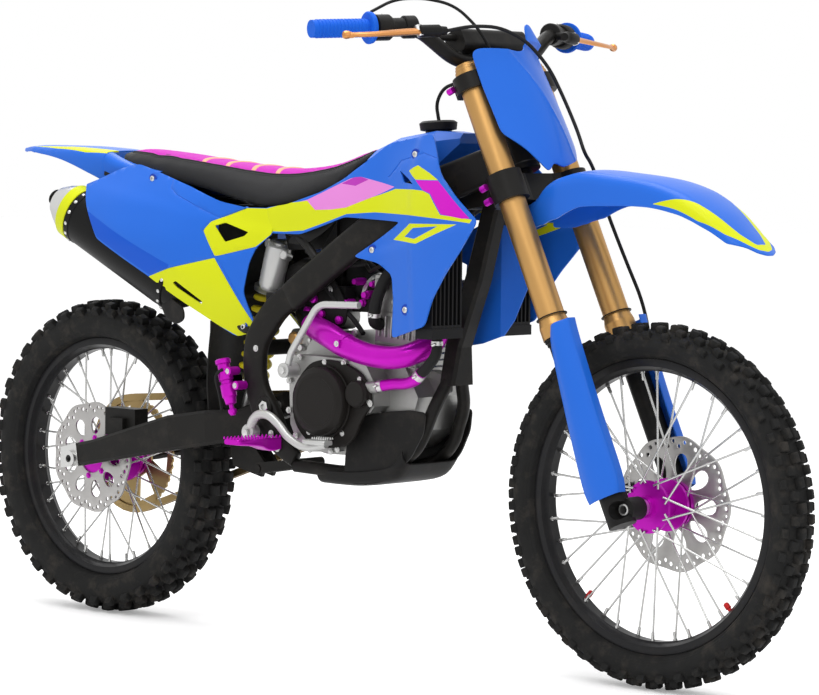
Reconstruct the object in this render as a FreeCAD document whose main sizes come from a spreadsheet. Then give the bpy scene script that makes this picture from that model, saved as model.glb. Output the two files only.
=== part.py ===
import FreeCAD
import Part
import Sketcher
import math
import os

from FreeCAD import Placement, Rotation, Vector

# Dirt bike, full size, upright with its steering straight ahead.
# Drawn from the rear axle forward (x), to the left (y) and up from the ground (z), in millimetres;
# every piece is then set back so that the origin lies where the rider sits.

SIZES = {
    "fit": 0.5,                 # running clearance of shafts in their bores
    "seam": 0.4,                # gap between panels and what they lie against
    "wheelBase": 1486, "frontAxleHeight": 345, "rearAxleHeight": 338,
    "riderAhead": 570, "riderHeight": 970,
    "rake": 25, "legAhead": 24, "axleLead": 16, "legSpacing": 196,
    # wheels
    "frontRimRadius": 276, "frontRimWidth": 48, "rearRimRadius": 254, "rearRimWidth": 62,
    "rimDepth": 22, "rimWall": 4, "frontTyreWidth": 86, "rearTyreWidth": 110,
    "frontLugDepth": 13, "rearLugDepth": 16, "frontLugCount": 28, "rearLugCount": 25, "spokeCount": 36,
    "frontAxleRadius": 11, "frontAxleBore": 8, "rearAxleRadius": 12.5, "rearAxleBore": 8,
    "frontHubRadius": 24, "frontFlangeRadius": 50, "rearHubRadius": 32, "rearFlangeRadius": 58,
    "flangeThickness": 6, "frontFlangeRight": 24, "frontFlangeLeft": 28, "rearFlangeRight": 30,
    "rearFlangeLeft": 32, "frontHubRight": 42, "carrierThickness": 8, "spokeRadius": 2,
    "frontCarrierRadius": 46, "rearCarrierRadius": 48,
    "frontDiscRadius": 130, "frontDiscOffset": 56, "rearDiscRadius": 120, "rearDiscOffset": 60,
    "discThickness": 4, "discBand": 26, "discGap": 5,
    "sprocketRadius": 119, "sprocketThickness": 5, "chainOffset": 68,
    "chainHeight": 15, "chainInnerWidth": 9, "chainPlate": 3, "linkPitch": 15.875, "rollerRadius": 4.5,
    "smallSprocketRadius": 32, "countershaftAhead": 648, "countershaftHeight": 472,
    # fork
    "forkTubeRadius": 26, "forkTubeBottom": 352, "forkTubeTop": 905, "forkSliderRadius": 23,
    "forkCollarRadius": 30, "forkCollarLength": 40, "forkCapLength": 12,
    "topClampLow": 862, "topClampThickness": 32, "lowClampLow": 632, "lowClampThickness": 56,
    "clampWall": 9, "stemRadius": 15, "headRadius": 30,
    "sliderInside": 120, "sliderStop": 20, "footRadius": 27, "footHeight": 62,
    "lugRadius": 22, "rightLugInner": 58, "leftLugInner": 73, "lugOuter": 100, "spacerRadius": 16,
    "stemBore": 9, "headLow": 704, "headHigh": 848,
    # bar
    "barRadius": 14, "gripRadius": 17, "gripLength": 118, "barHalfWidth": 408,
    "barAhead": 10, "barAboveClamp": 38,
    # running gear
    "pivotAhead": 573, "pivotHeight": 483, "pivotRadius": 10,
    "armOuter": 121, "armThickness": 27,
    "shockTopAhead": 500, "shockTopHeight": 800, "shockBottomAhead": 390, "shockBottomHeight": 414,
    "springRadius": 34, "springWire": 6, "springTurns": 7,
    "springBottom": 120, "springTop": 306,
    # engine and exhaust
    "clutchAhead": 741, "clutchHeight": 504, "clutchRadius": 71, "clutchFace": 148,
    "caseHalfWidth": 98, "headerRadius": 22, "midPipeRadius": 22,
    "mufflerWide": 46, "mufflerTall": 58, "mufflerOffset": 109,
    # skins
    "skin": 4, "radiatorInside": 58.3, "radiatorOutside": 150,
}

document = FreeCAD.newDocument("DirtBike")
sheet = document.addObject("Spreadsheet::Sheet", "Sizes")
for row, (alias, number) in enumerate(SIZES.items(), start=1):
    sheet.set(f"A{row}", alias)
    sheet.set(f"B{row}", str(number))
    sheet.setAlias(f"B{row}", alias)
document.recompute()


class Size:
    """A length that knows both its number and the sheet expression that drives it."""

    def __init__(self, number, text):
        self.number = float(number)
        self.text = text

    def __float__(self):
        return self.number

    def __add__(self, other):
        other = sizeOf(other)
        return Size(self.number + other.number, f"({self.text} + {other.text})")

    def __radd__(self, other):
        return sizeOf(other) + self

    def __sub__(self, other):
        other = sizeOf(other)
        return Size(self.number - other.number, f"({self.text} - {other.text})")

    def __rsub__(self, other):
        return sizeOf(other) - self

    def __mul__(self, factor):
        return Size(self.number * factor, f"({self.text} * {factor})")

    def __rmul__(self, factor):
        return self * factor

    def __neg__(self):
        return self * -1


def sizeOf(value):
    return value if isinstance(value, Size) else Size(value, str(float(value)))


class Sizes:
    """Named driving sizes, read back from the sheet."""

    def __getattr__(self, name):
        return Size(sheet.get(name), f"Sizes.{name}")


s = Sizes()


def num(value):
    return float(value)


def at(x, y, z):
    return Vector(num(x), num(y), num(z))


def bind(item, name, size):
    size = sizeOf(size)
    item.setExpression(name, size.text)


# Frames: the whole bike, the raked steering, and the two axles
RAKE = math.radians(num(s.rake))
stemReach = num(s.legAhead) + num(s.axleLead)
stemX = num(s.wheelBase) - stemReach * math.cos(RAKE)
stemZ = num(s.frontAxleHeight) - stemReach * math.sin(RAKE)
bike = Placement(at(-s.riderAhead, 0, -s.riderHeight), Rotation())
steering = bike * Placement(at(stemX, 0, stemZ), Rotation(Vector(0, 1, 0), -num(s.rake)))
acrossAxle = Rotation(Vector(1, 0, 0), -90)
frontWheel = bike * Placement(at(s.wheelBase, 0, s.frontAxleHeight), acrossAxle)
rearWheel = bike * Placement(at(0, 0, s.rearAxleHeight), acrossAxle)

pieces = []
solids = {}


def keep(item, name, frame):
    """Names a finished sub-part and sets it in its frame."""
    item.Label = name
    item.Placement = frame
    pieces.append(item)
    return item


def feature(name, shape, frame=bike):
    item = document.addObject("Part::Feature", name)
    item.Shape = shape
    solids[name] = shape
    return keep(item, name, frame * shape.Placement)


# Sketches and bodies
def originPlane(body, role):
    return next(part for part in body.Origin.OriginFeatures if part.Role == role)


def outlineSketch(body, name, role, points, lift=0):
    sketch = body.newObject("Sketcher::SketchObject", name)
    sketch.AttachmentSupport = [(originPlane(body, role), "")]
    sketch.MapMode = "FlatFace"
    sketch.AttachmentOffset = Placement(at(0, 0, lift), Rotation())
    corners = [(sizeOf(a), sizeOf(b)) for a, b in points]
    count = len(corners)
    for index, (a, b) in enumerate(corners):
        c, d = corners[(index + 1) % count]
        sketch.addGeometry(Part.LineSegment(at(a, b, 0), at(c, d, 0)), False)
    for index in range(count):
        sketch.addConstraint(Sketcher.Constraint("Coincident", index, 2, (index + 1) % count, 1))
    for index, (a, b) in enumerate(corners):
        for kind, axis, size in (("DistanceX", -2, a), ("DistanceY", -1, b)):
            if size.number == 0:
                sketch.addConstraint(Sketcher.Constraint("PointOnObject", index, 1, axis))
            else:
                place = sketch.addConstraint(Sketcher.Constraint(kind, -1, 1, index, 1, size.number))
                sketch.setExpression(f"Constraints[{place}]", size.text)
    return sketch


def revolved(body, name, points):
    """A ring about the body's own Z, from an outline of radius and height."""
    sketch = outlineSketch(body, name + "Outline", "XZ_Plane", points)
    turn = body.newObject("PartDesign::Revolution", name)
    turn.Profile = sketch
    turn.ReferenceAxis = (sketch, ["V_Axis"])
    turn.Angle = 360
    return turn


def circleSketch(body, name, role, circles, lift=0):
    sketch = body.newObject("Sketcher::SketchObject", name)
    sketch.AttachmentSupport = [(originPlane(body, role), "")]
    sketch.MapMode = "FlatFace"
    sketch.AttachmentOffset = Placement(at(0, 0, lift), Rotation())
    for a, b, radius in circles:
        a, b, radius = sizeOf(a), sizeOf(b), sizeOf(radius)
        index = sketch.addGeometry(Part.Circle(at(a, b, 0), Vector(0, 0, 1), radius.number), False)
        ring = sketch.addConstraint(Sketcher.Constraint("Radius", index, radius.number))
        sketch.setExpression(f"Constraints[{ring}]", radius.text)
        for kind, axis, size in (("DistanceX", -2, a), ("DistanceY", -1, b)):
            if size.number == 0:
                sketch.addConstraint(Sketcher.Constraint("PointOnObject", index, 3, axis))
            else:
                place = sketch.addConstraint(Sketcher.Constraint(kind, -1, 1, index, 3, size.number))
                sketch.setExpression(f"Constraints[{place}]", size.text)
    return sketch


def padded(body, name, sketch, length, symmetric=False):
    pad = body.newObject("PartDesign::Pad", name)
    pad.Profile = sketch
    pad.Length = num(length)
    bind(pad, "Length", length)
    if symmetric:
        pad.SideType = "Symmetric"
    return pad


def newBody(name, frame):
    body = document.addObject("PartDesign::Body", name)
    return keep(body, name, frame)


# Plain solids from curves
def loft(sections, ruled=True):
    wires = [Part.makePolygon(points + [points[0]]) for points in sections]
    return Part.makeLoft(wires, True, ruled)


def prism(points, across, thickness):
    """An outline in the bike's side view, pushed along y."""
    corners = [at(x, across, z) for x, z in points]
    face = Part.Face(Part.makePolygon(corners + [corners[0]]))
    return face.extrude(at(0, thickness, 0))


def rod(start, end, radius):
    axis = end - start
    return Part.makeCylinder(num(radius), axis.Length, start, axis)


def cone(start, end, first, last):
    axis = end - start
    return Part.makeCone(num(first), num(last), axis.Length, start, axis)


def roundedRun(points, radiusOf):
    """Straight runs joined by tangent arcs."""
    edges = []
    start = points[0]
    for before, corner, after in zip(points, points[1:], points[2:]):
        inward = (before - corner).normalize()
        outward = (after - corner).normalize()
        half = (math.pi - inward.getAngle(outward)) / 2
        shorter = min((before - corner).Length, (after - corner).Length)
        radius = min(radiusOf(shorter, half), 0.49 * shorter / math.tan(half))
        setBack = radius * math.tan(half)
        first = corner + inward * setBack
        last = corner + outward * setBack
        middle = (inward + outward).normalize()
        centre = corner + middle * (radius / math.cos(half))
        edges.append(Part.LineSegment(start, first).toShape())
        edges.append(Part.Arc(first, centre - middle * radius, last).toShape())
        start = last
    edges.append(Part.LineSegment(start, points[-1]).toShape())
    return Part.Wire(edges)


def pipe(points, radius, bend=0.45):
    spine = roundedRun(points, lambda shorter, half: bend * shorter / math.tan(half))
    direction = points[1] - points[0]
    ring = Part.Wire(Part.Circle(points[0], direction, num(radius)).toShape())
    solid = spine.makePipeShell([ring], True, False)
    return solid


def fused(first, *others):
    shape = first.fuse(list(others)) if others else first
    return shape.removeSplitter()


def largest(shape):
    return max(shape.Solids, key=lambda solid: solid.Volume)


def mirrored(shape):
    return shape.mirror(Vector(0, 0, 0), Vector(0, 1, 0))


def sheetPanel(outline, levels, thickness, side):
    """A thin skin: its side outline, cut from a sheet that bows outward.

    levels holds, for each height, the (x, distance from the middle) points of the outer face."""
    sections = []
    for height, points in levels:
        outer = [at(x, side * y, height) for x, y in points]
        inner = [at(x, side * (y - num(thickness)), height) for x, y in reversed(points)]
        sections.append(outer + inner)
    sheetSolid = loft(sections)
    reach = max(y for _, points in levels for _, y in points) + 20
    start = 0 if side > 0 else -reach
    return prism(outline, start, reach).common(sheetSolid)


# Wheels
def roundAt(radius, angle, z):
    return at(radius * math.cos(angle), radius * math.sin(angle), z)


def barrel(stations, sides, inscribed=False):
    """A flat-sided turned form: stations are (place along the axis, radius)."""
    swell = 1 / math.cos(math.pi / sides) if inscribed else 1
    return loft([[roundAt(radius * swell, 2 * math.pi * k / sides, z) for k in range(sides)] for z, radius in stations])


def treadRing(stations, count, phase, cover):
    """A ring of tapered blocks: stations are (place across, radius of the floor, radius of the tops)."""
    step = 2 * math.pi / count
    foot, top = cover * step / 2, cover * step / 2 * 0.84
    sections = []
    for z, floor, crest in sorted(stations):
        section = []
        for index in range(count):
            middle = step * (index + phase) - math.pi / 2
            section += [roundAt(floor, middle - foot, z), roundAt(crest / math.cos(top), middle - top, z),
                        roundAt(crest / math.cos(top), middle + top, z), roundAt(floor, middle + foot, z)]
        sections.append(section)
    reach = max(abs(z) for z, _, _ in stations) + 1
    return loft(sections).cut(rod(at(0, 0, -reach), at(0, 0, reach), stations[0][1] - 24))


def tyre(name, frame, rimRadius, rimWidth, outerRadius, width, lugDepth, lugCount):
    """A casing on the rim's bead seats, with a ring of blocks over the crown and one on each shoulder, half a step on."""
    seat = num(rimWidth) / 2 - num(s.rimWall) - num(s.seam)
    edge = num(rimRadius)
    half = num(width) / 2
    outer = num(outerRadius)
    floor = outer - num(lugDepth)
    count = round(num(lugCount))
    flank = [(half, edge + 30), (half - 3, floor - 18), (0.74 * half, floor - 8)]
    casing = barrel([(-z, radius) for z, radius in flank] + flank[::-1], count)
    casing = casing.cut(barrel([(-seat, edge - 12 + num(s.seam)), (seat, edge - 12 + num(s.seam))], count, True))
    for side in (-1, 1):
        bead = [(side * seat, edge + 2), (side * (half - 6), edge + 12), (side * half, edge + 27)]
        casing = casing.cut(barrel(sorted(bead), count, True))
    inner, far = 0.42 * half, 0.84 * half
    crown = treadRing([(-inner, floor, outer), (inner, floor, outer)], count, 0, 0.52)
    shoulders = [treadRing([(side * inner, floor - 0.5, outer - 1.5), (side * far, floor - 7, outer - 10)], count, 0.5, 0.46)
                 for side in (-1, 1)]
    feature(name, fused(casing, crown, *shoulders), frame)


def rim(name, frame, radius, width):
    body = newBody(name, frame)
    half = width * 0.5
    inner = radius - s.rimDepth
    revolved(body, name + "Section", [
        (radius, -half), (radius, s.rimWall - half), (radius - 12, s.rimWall - half),
        (radius - 12, half - s.rimWall), (radius, half - s.rimWall), (radius, half),
        (radius - 14, half), (inner, half * 0.45), (inner, half * -0.45), (radius - 14, -half)])


def spool(name, frame, bore, steps):
    """A turned hub: steps are (start across, end across, radius), one after the other."""
    body = newBody(name, frame)
    points = [(bore, steps[0][0])]
    for start, end, radius in steps:
        points += [(radius, start), (radius, end)]
    points.append((bore, steps[-1][1]))
    revolved(body, name + "Spool", points)


def spokes(name, frame, flange, rimInner, rightFlange, leftFlange, count):
    """Crossed wire spokes, alternating between the two flanges, all in one node."""
    wires = []
    crossing = math.radians(38)
    for index in range(count):
        side = -1 if index % 2 else 1
        lean = crossing if (index // 2) % 2 else -crossing
        angle = 2 * math.pi * index / count
        root = angle + lean
        offset = num(leftFlange) if side > 0 else -num(rightFlange)
        hubEnd = Vector((num(flange) - 5) * math.cos(root), (num(flange) - 5) * math.sin(root),
                        offset + side * (num(s.flangeThickness) + 1.65 * num(s.spokeRadius)))
        rimEnd = Vector(num(rimInner) * math.cos(angle), num(rimInner) * math.sin(angle), side * 6)
        wires.append(rod(hubEnd, rimEnd, s.spokeRadius))
    feature(name, Part.makeCompound(wires), frame)


def cutAway(body, name, sketch, depth, count):
    """The same hole, repeated about the body's Z."""
    pocket = body.newObject("PartDesign::Pocket", name)
    pocket.Profile = sketch
    pocket.SideType = "Symmetric"
    pocket.Length = num(depth)
    bind(pocket, "Length", depth)
    document.recompute()
    pattern = body.newObject("PartDesign::PolarPattern", name + "Ring")
    pattern.Originals = [pocket]
    pattern.Axis = (originPlane(body, "Z_Axis"), [""])
    pattern.Angle = 360
    pattern.Occurrences = count
    body.Tip = pattern


def disc(name, frame, radius, offset, carrier):
    """A wave rotor: scalloped rim, windows, and a ring that bolts to the hub."""
    body = newBody(name, frame)
    lift = offset - s.discThickness * 0.5
    blank = circleSketch(body, name + "Blank", "XY_Plane", [(0, 0, radius), (0, 0, carrier - 14)], lift)
    padded(body, name + "Plate", blank, s.discThickness)
    inner = radius - s.discBand
    window = outlineSketch(body, name + "WindowOutline", "XY_Plane", [
        (carrier * 0.92, -14), (carrier, 16), (inner * 0.86, inner * 0.52), (inner * 0.97, -6)], offset)
    cutAway(body, name + "Window", window, s.discThickness * 3, 6)
    scallop = circleSketch(body, name + "ScallopOutline", "XY_Plane", [(radius + 22, 0, 27)], offset)
    cutAway(body, name + "Scallop", scallop, s.discThickness * 3, 9)


def makeWheels():
    tyre("front_tyre", frontWheel, s.frontRimRadius, s.frontRimWidth, s.frontAxleHeight,
         s.frontTyreWidth, s.frontLugDepth, s.frontLugCount)
    rim("front_rim", frontWheel, s.frontRimRadius, s.frontRimWidth)
    thick = s.flangeThickness
    discFace = s.frontDiscOffset - s.discThickness * 0.5
    spool("front_hub", frontWheel, s.frontAxleRadius + s.fit, [
        (-s.frontHubRight, -s.frontFlangeRight - thick, s.frontHubRadius - 4),
        (-s.frontFlangeRight - thick, -s.frontFlangeRight, s.frontFlangeRadius),
        (-s.frontFlangeRight, s.frontFlangeLeft, s.frontHubRadius),
        (s.frontFlangeLeft, s.frontFlangeLeft + thick, s.frontFlangeRadius),
        (s.frontFlangeLeft + thick, discFace - s.carrierThickness, s.frontHubRadius),
        (discFace - s.carrierThickness, discFace, s.frontCarrierRadius)])
    spokes("front_spokes", frontWheel, s.frontFlangeRadius, s.frontRimRadius - s.rimDepth - 0.8,
           s.frontFlangeRight, s.frontFlangeLeft, round(num(s.spokeCount)))
    disc("front_disc", frontWheel, s.frontDiscRadius, s.frontDiscOffset, s.frontCarrierRadius)
    tyre("rear_tyre", rearWheel, s.rearRimRadius, s.rearRimWidth, s.rearAxleHeight,
         s.rearTyreWidth, s.rearLugDepth, s.rearLugCount)
    rim("rear_rim", rearWheel, s.rearRimRadius, s.rearRimWidth)
    discFace = s.rearDiscOffset - s.discThickness * 0.5
    sprocketFace = s.chainOffset - s.sprocketThickness * 0.5
    spool("rear_hub", rearWheel, s.rearAxleRadius + s.fit, [
        (-discFace, s.carrierThickness - discFace, s.rearCarrierRadius),
        (s.carrierThickness - discFace, -s.rearFlangeRight - thick, s.rearHubRadius),
        (-s.rearFlangeRight - thick, -s.rearFlangeRight, s.rearFlangeRadius),
        (-s.rearFlangeRight, s.rearFlangeLeft, s.rearHubRadius),
        (s.rearFlangeLeft, s.rearFlangeLeft + thick, s.rearFlangeRadius),
        (s.rearFlangeLeft + thick, sprocketFace - s.carrierThickness, s.rearHubRadius),
        (sprocketFace - s.carrierThickness, sprocketFace, s.rearCarrierRadius)])
    spokes("rear_spokes", rearWheel, s.rearFlangeRadius, s.rearRimRadius - s.rimDepth - 0.8,
           s.rearFlangeRight, s.rearFlangeLeft, round(num(s.spokeCount)))
    disc("rear_disc", rearWheel, s.rearDiscRadius, -s.rearDiscOffset, s.rearCarrierRadius)
    makeSprocket()


# Steering
def primitive(kind, name, place, **sizes):
    item = document.addObject("Part::" + kind, name)
    for key, size in sizes.items():
        setattr(item, key, num(size))
        bind(item, key, size)
    item.Placement = place
    return item


def joined(name, parts, frame):
    item = document.addObject("Part::MultiFuse", name)
    item.Shapes = parts
    item.Refine = True
    return keep(item, name, frame)


def hollowed(name, base, tool):
    item = document.addObject("Part::Cut", name)
    item.Base = base
    item.Tool = tool
    return item


def group(name, parts):
    item = document.addObject("Part::MultiFuse", name)
    item.Shapes = parts
    return item


ALONG_Y = Rotation(Vector(1, 0, 0), -90)
UPRIGHT = Rotation()


def makeForkTubes():
    """Two upper tubes, wider at the seal collar, with a cap on top and a bore for the slider."""
    tubes = []
    for side in (-1, 1):
        label = "Right" if side < 0 else "Left"
        across = side * num(s.legSpacing) / 2
        low = num(s.forkTubeBottom)
        tube = primitive("Cylinder", "UpperTube" + label, Placement(at(s.legAhead, across, low), UPRIGHT),
                         Radius=s.forkTubeRadius, Height=s.forkTubeTop - s.forkTubeBottom)
        collar = primitive("Cylinder", "SealCollar" + label, Placement(at(s.legAhead, across, low), UPRIGHT),
                           Radius=s.forkCollarRadius, Height=s.forkCollarLength * 0.6)
        flare = primitive("Cone", "Flare" + label,
                          Placement(at(s.legAhead, across, low + 0.6 * num(s.forkCollarLength)), UPRIGHT),
                          Radius1=s.forkCollarRadius, Radius2=s.forkTubeRadius, Height=s.forkCollarLength * 0.4)
        cap = primitive("Cylinder", "TopCap" + label, Placement(at(s.legAhead, across, s.forkTubeTop), UPRIGHT),
                        Radius=s.forkTubeRadius - 4, Height=s.forkCapLength)
        bore = primitive("Cylinder", "SliderBore" + label, Placement(at(s.legAhead, across, low - 1), UPRIGHT),
                         Radius=s.forkSliderRadius + s.fit, Height=s.sliderInside + s.sliderStop + 1)
        outer = group("TubeSolid" + label, [tube, collar, flare, cap])
        tubes.append(hollowed("Tube" + label, outer, bore))
    joined("fork_tubes", tubes, steering)


def makeForkSliders():
    """Chromed inner tubes, each in a cast foot that clamps the axle ahead of the leg."""
    feet = []
    for side in (-1, 1):
        across = side * num(s.legSpacing) / 2
        inner = num(s.rightLugInner) if side < 0 else num(s.leftLugInner)
        outer = num(s.lugOuter)
        top = num(s.forkTubeBottom) + num(s.sliderInside)
        leg = Part.makeCylinder(num(s.forkSliderRadius), top - 20, at(s.legAhead, across, 20))
        foot = Part.makeCylinder(num(s.footRadius), num(s.footHeight), at(s.legAhead, across, -26))
        clamp = Part.makeCylinder(num(s.lugRadius), outer - inner,
                                  at(stemReach, min(side * inner, side * outer), 0), Vector(0, 1, 0))
        bridge = Part.makeBox(stemReach - num(s.legAhead), outer - max(inner, abs(across) - 24), 2 * num(s.lugRadius),
                              at(s.legAhead, min(side * max(inner, abs(across) - 24), side * outer), -num(s.lugRadius)))
        relief = num(s.spacerRadius) + 1
        ends = [Part.makeCylinder(relief, 40, at(stemReach, outer if side > 0 else -outer - 40, 0), Vector(0, 1, 0)),
                Part.makeCylinder(relief, 16, at(stemReach, inner - 16 if side > 0 else -inner, 0), Vector(0, 1, 0))]
        solid = fused(leg, foot, clamp, bridge).cut(ends[0]).cut(ends[1])
        bore = Part.makeCylinder(num(s.frontAxleRadius) + 0.3, 2 * outer, at(stemReach, -outer - 5, 0), Vector(0, 1, 0))
        if side > 0:
            bore = Part.makeCylinder(num(s.frontAxleRadius) + 0.3, outer, at(stemReach, 5, 0), Vector(0, 1, 0))
        feet.append(solid.cut(bore))
    feature("fork_sliders", Part.makeCompound(feet), steering)


def makeFrontAxle():
    """Hollow axle with its spacers either side of the hub and a hexagon-free round head."""
    outer = num(s.lugOuter)
    axle = Part.makeCylinder(num(s.frontAxleRadius), 2 * outer + 6, at(stemReach, -outer - 2, 0), Vector(0, 1, 0))
    right = num(s.rightLugInner) - 0.3 - num(s.frontHubRight) - num(s.fit)
    hubLeft = num(s.frontDiscOffset) - num(s.discThickness) / 2
    left = num(s.leftLugInner) - 0.3 - hubLeft - num(s.fit)
    spacerRadius = num(s.spacerRadius)
    spacers = [
        Part.makeCylinder(spacerRadius, right, at(stemReach, -num(s.rightLugInner) + 0.3, 0), Vector(0, 1, 0)),
        Part.makeCylinder(spacerRadius, left, at(stemReach, hubLeft + num(s.fit), 0), Vector(0, 1, 0))]
    head = Part.makeCylinder(spacerRadius, 5, at(stemReach, outer + 0.3, 0), Vector(0, 1, 0))
    solid = fused(axle, head, *spacers)
    bore = Part.makeCylinder(num(s.frontAxleBore), 3 * outer, at(stemReach, -1.5 * outer, 0), Vector(0, 1, 0))
    feature("front_axle", solid.cut(bore), steering)


def clampPlate(low, thickness, reach, tubeRadius, stemSolid):
    """A triple clamp: two split rings for the legs and a web round the stem."""
    half = num(s.legSpacing) / 2
    wall = num(s.clampWall)
    ring = num(tubeRadius) + wall
    ahead = num(s.legAhead)
    web = [(-reach, -30), (-reach, 30), (ahead - 18, half), (ahead + 16, half), (ahead + 6, 40),
           (ahead + 6, -40), (ahead + 16, -half), (ahead - 18, -half)]
    corners = [at(u, v, low) for u, v in web]
    solid = Part.Face(Part.makePolygon(corners + [corners[0]])).extrude(at(0, 0, thickness))
    for side in (-1, 1):
        solid = solid.fuse(Part.makeCylinder(ring, thickness, at(ahead, side * half, low)))
        ear = Part.makeBox(22, 16, thickness, at(ahead - ring - 6, side * half - 8, low))
        solid = solid.fuse(ear)
    solid = solid.fuse(stemSolid).removeSplitter()
    for side in (-1, 1):
        solid = solid.cut(Part.makeCylinder(num(tubeRadius) + 0.3, thickness + 2, at(ahead, side * half, low - 1)))
    return solid


def makeTripleClamps():
    """Lower clamp with its stem, and the upper clamp with the bar mounts on it."""
    low = num(s.lowClampLow)
    top = num(s.topClampLow)
    stem = Part.makeCylinder(num(s.stemRadius), top - low + 4, at(0, 0, low))
    lower = clampPlate(low, num(s.lowClampThickness), 26, s.forkTubeRadius, stem)
    nut = Part.makeCylinder(num(s.stemRadius) + 5, 6, at(0, 0, top + num(s.topClampThickness)))
    upper = clampPlate(top, num(s.topClampThickness), 24, s.forkTubeRadius, nut)
    barAt = Vector(num(s.barAhead), 0, top + num(s.topClampThickness) + num(s.barAboveClamp))
    for side in (-1, 1):
        post = Part.makeBox(34, 26, num(s.barAboveClamp) + 18,
                            at(num(s.barAhead) - 17, side * 46 - 13, top + num(s.topClampThickness)))
        upper = upper.fuse(post)
    upper = upper.cut(Part.makeCylinder(num(s.barRadius) + 0.3, 140, Vector(barAt.x, -70, barAt.z), Vector(0, 1, 0)))
    whole = lower.fuse(upper).removeSplitter()
    hole = Part.makeCylinder(num(s.stemBore), top - low + 80, at(0, 0, low - 10))
    feature("triple_clamps", whole.cut(hole), steering)


def makeHandlebar():
    """Tapered bar, rising and sweeping back, with its padded brace."""
    top = num(s.topClampLow) + num(s.topClampThickness) + num(s.barAboveClamp)
    ahead = num(s.barAhead)
    half = num(s.barHalfWidth)
    right = [Vector(ahead, 0, top), Vector(ahead, -105, top), Vector(ahead + 8, -200, top + 66),
             Vector(ahead - 62, -half, top + 88)]
    left = [Vector(p.x, -p.y, p.z) for p in reversed(right)]
    solid = pipe(left[:-1] + right[1:], s.barRadius, 0.3)
    brace = rod(Vector(ahead + 5, -150, top + 48), Vector(ahead + 5, 150, top + 48), 7)
    pad = Part.makeBox(46, 190, 44, at(ahead - 18, -95, top + 18))
    pad = pad.makeFillet(12, [e for e in pad.Edges if abs(e.Length - 190) < 1])
    feature("handlebar", fused(solid, brace, pad), steering)


def barPoint(side, distance):
    """A point on the outer run of the bar, at a distance in from its end, and its direction."""
    top = num(s.topClampLow) + num(s.topClampThickness) + num(s.barAboveClamp)
    end = Vector(num(s.barAhead) - 62, side * num(s.barHalfWidth), top + 88)
    knee = Vector(num(s.barAhead) + 8, side * 200, top + 66)
    inward = (knee - end).normalize()
    return end + inward * distance, inward


def makeGrips():
    grips = []
    for side in (-1, 1):
        end, inward = barPoint(side, -4)
        start, _ = barPoint(side, num(s.gripLength))
        grip = rod(end, start, s.gripRadius)
        flange = rod(start, start + inward * 6, 30)
        bore = rod(end + inward * 4, start + inward * 20, num(s.barRadius) + 0.3)
        grips.append(fused(grip, flange).cut(bore))
    feature("grips", Part.makeCompound(grips), steering)


def makeControlLevers():
    """Right: throttle housing, brake cylinder and lever. Left: clutch perch and lever."""
    sets = []
    for side in (-1, 1):
        base, inward = barPoint(side, num(s.gripLength) + 12)
        forward = Vector(math.cos(0.6), 0, -math.sin(0.6))
        collar = rod(base, base + inward * 34, num(s.barRadius) + 11)
        mount = base + inward * 62
        perch = rod(mount, mount + inward * 26, num(s.barRadius) + 8)
        arm = rod(mount + inward * 13, mount + inward * 13 + forward * 52, 9)
        pivot = mount + forward * 50 - inward * 6
        body = rod(pivot, pivot + inward * 58, 12)
        tip = pivot - inward * 176 + forward * 26
        blade = cone(pivot + inward * 6, tip, 8, 5)
        ball = Part.makeSphere(8, tip)
        solid = fused(collar, perch, arm, body, blade, ball)
        solid = solid.fuse(rod(base + inward * 20, mount + inward * 8, num(s.barRadius) + 4)).removeSplitter()
        bore = rod(base - inward * 20, mount + inward * 60, num(s.barRadius) + 0.3)
        sets.append(solid.cut(bore).cut(solids["handlebar"]))
    feature("control_levers", Part.makeCompound(sets), steering)


def makeNumberPlate():
    """A blank front plate, bowed, with a raised spine that tops out above the bar pad."""
    outline = [(-116, 925), (-106, 932), (-20, 914), (10, 920), (20, 964), (40, 948), (104, 892), (116, 845), (94, 736),
               (52, 688), (10, 674), (-10, 670), (-30, 682), (-47, 662), (-80, 718), (-111, 757), (-116, 857)]
    shield = Part.Face(Part.makePolygon([at(0, v, w) for v, w in outline] + [at(0, outline[0][0], outline[0][1])]))
    block = shield.extrude(at(160, 0, 0))
    levels = []
    half = 120
    for w, crown, edge in ((640, 98.5, 58.5), (760, 100.5, 56.5), (880, 100.5, 56.5), (980, 104.5, 60.5)):
        across = [-half, -0.66 * half, -0.33 * half, 0, 0.33 * half, 0.66 * half, half]
        front = [at(crown - (crown - edge) * (v / half) ** 2, v, w) for v in across]
        back = [p - at(s.skin, 0, 0) for p in reversed(front)]
        levels.append(front + back)
    feature("number_plate", block.common(loft(levels, False)), steering)


def makeFrontFender():
    """A long beak over the wheel: crowned, with its sides turned down, tucked under the lower clamp."""
    stations = [  # along x, height of the crown, half width, drop of the sides
        (1180, 899.2, 58, 40), (1226, 920.6, 62, 60), (1252, 946, 66, 80), (1290, 962, 74, 84), (1350, 973, 76, 70), (1420, 968, 76, 62), (1493, 960, 74, 56),
        (1563, 942, 70, 52), (1632, 906, 62, 44), (1690, 862, 50, 34), (1738, 824, 24, 20)]
    sections = []
    for x, height, half, drop in stations:
        outer = [at(x, -half, height - drop), at(x, -half + 6, height - 12), at(x, -half * 0.5, height),
                 at(x, half * 0.5, height), at(x, half - 6, height - 12), at(x, half, height - drop)]
        t = num(s.skin)
        inner = [at(x, half - t, height - drop), at(x, half - 6 - t, height - 12 - t), at(x, half * 0.5, height - t),
                 at(x, -half * 0.5, height - t), at(x, -half + 6 + t, height - 12 - t), at(x, -half + t, height - drop)]
        sections.append(outer + inner)
    feature("front_fender", loft(sections))


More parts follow.
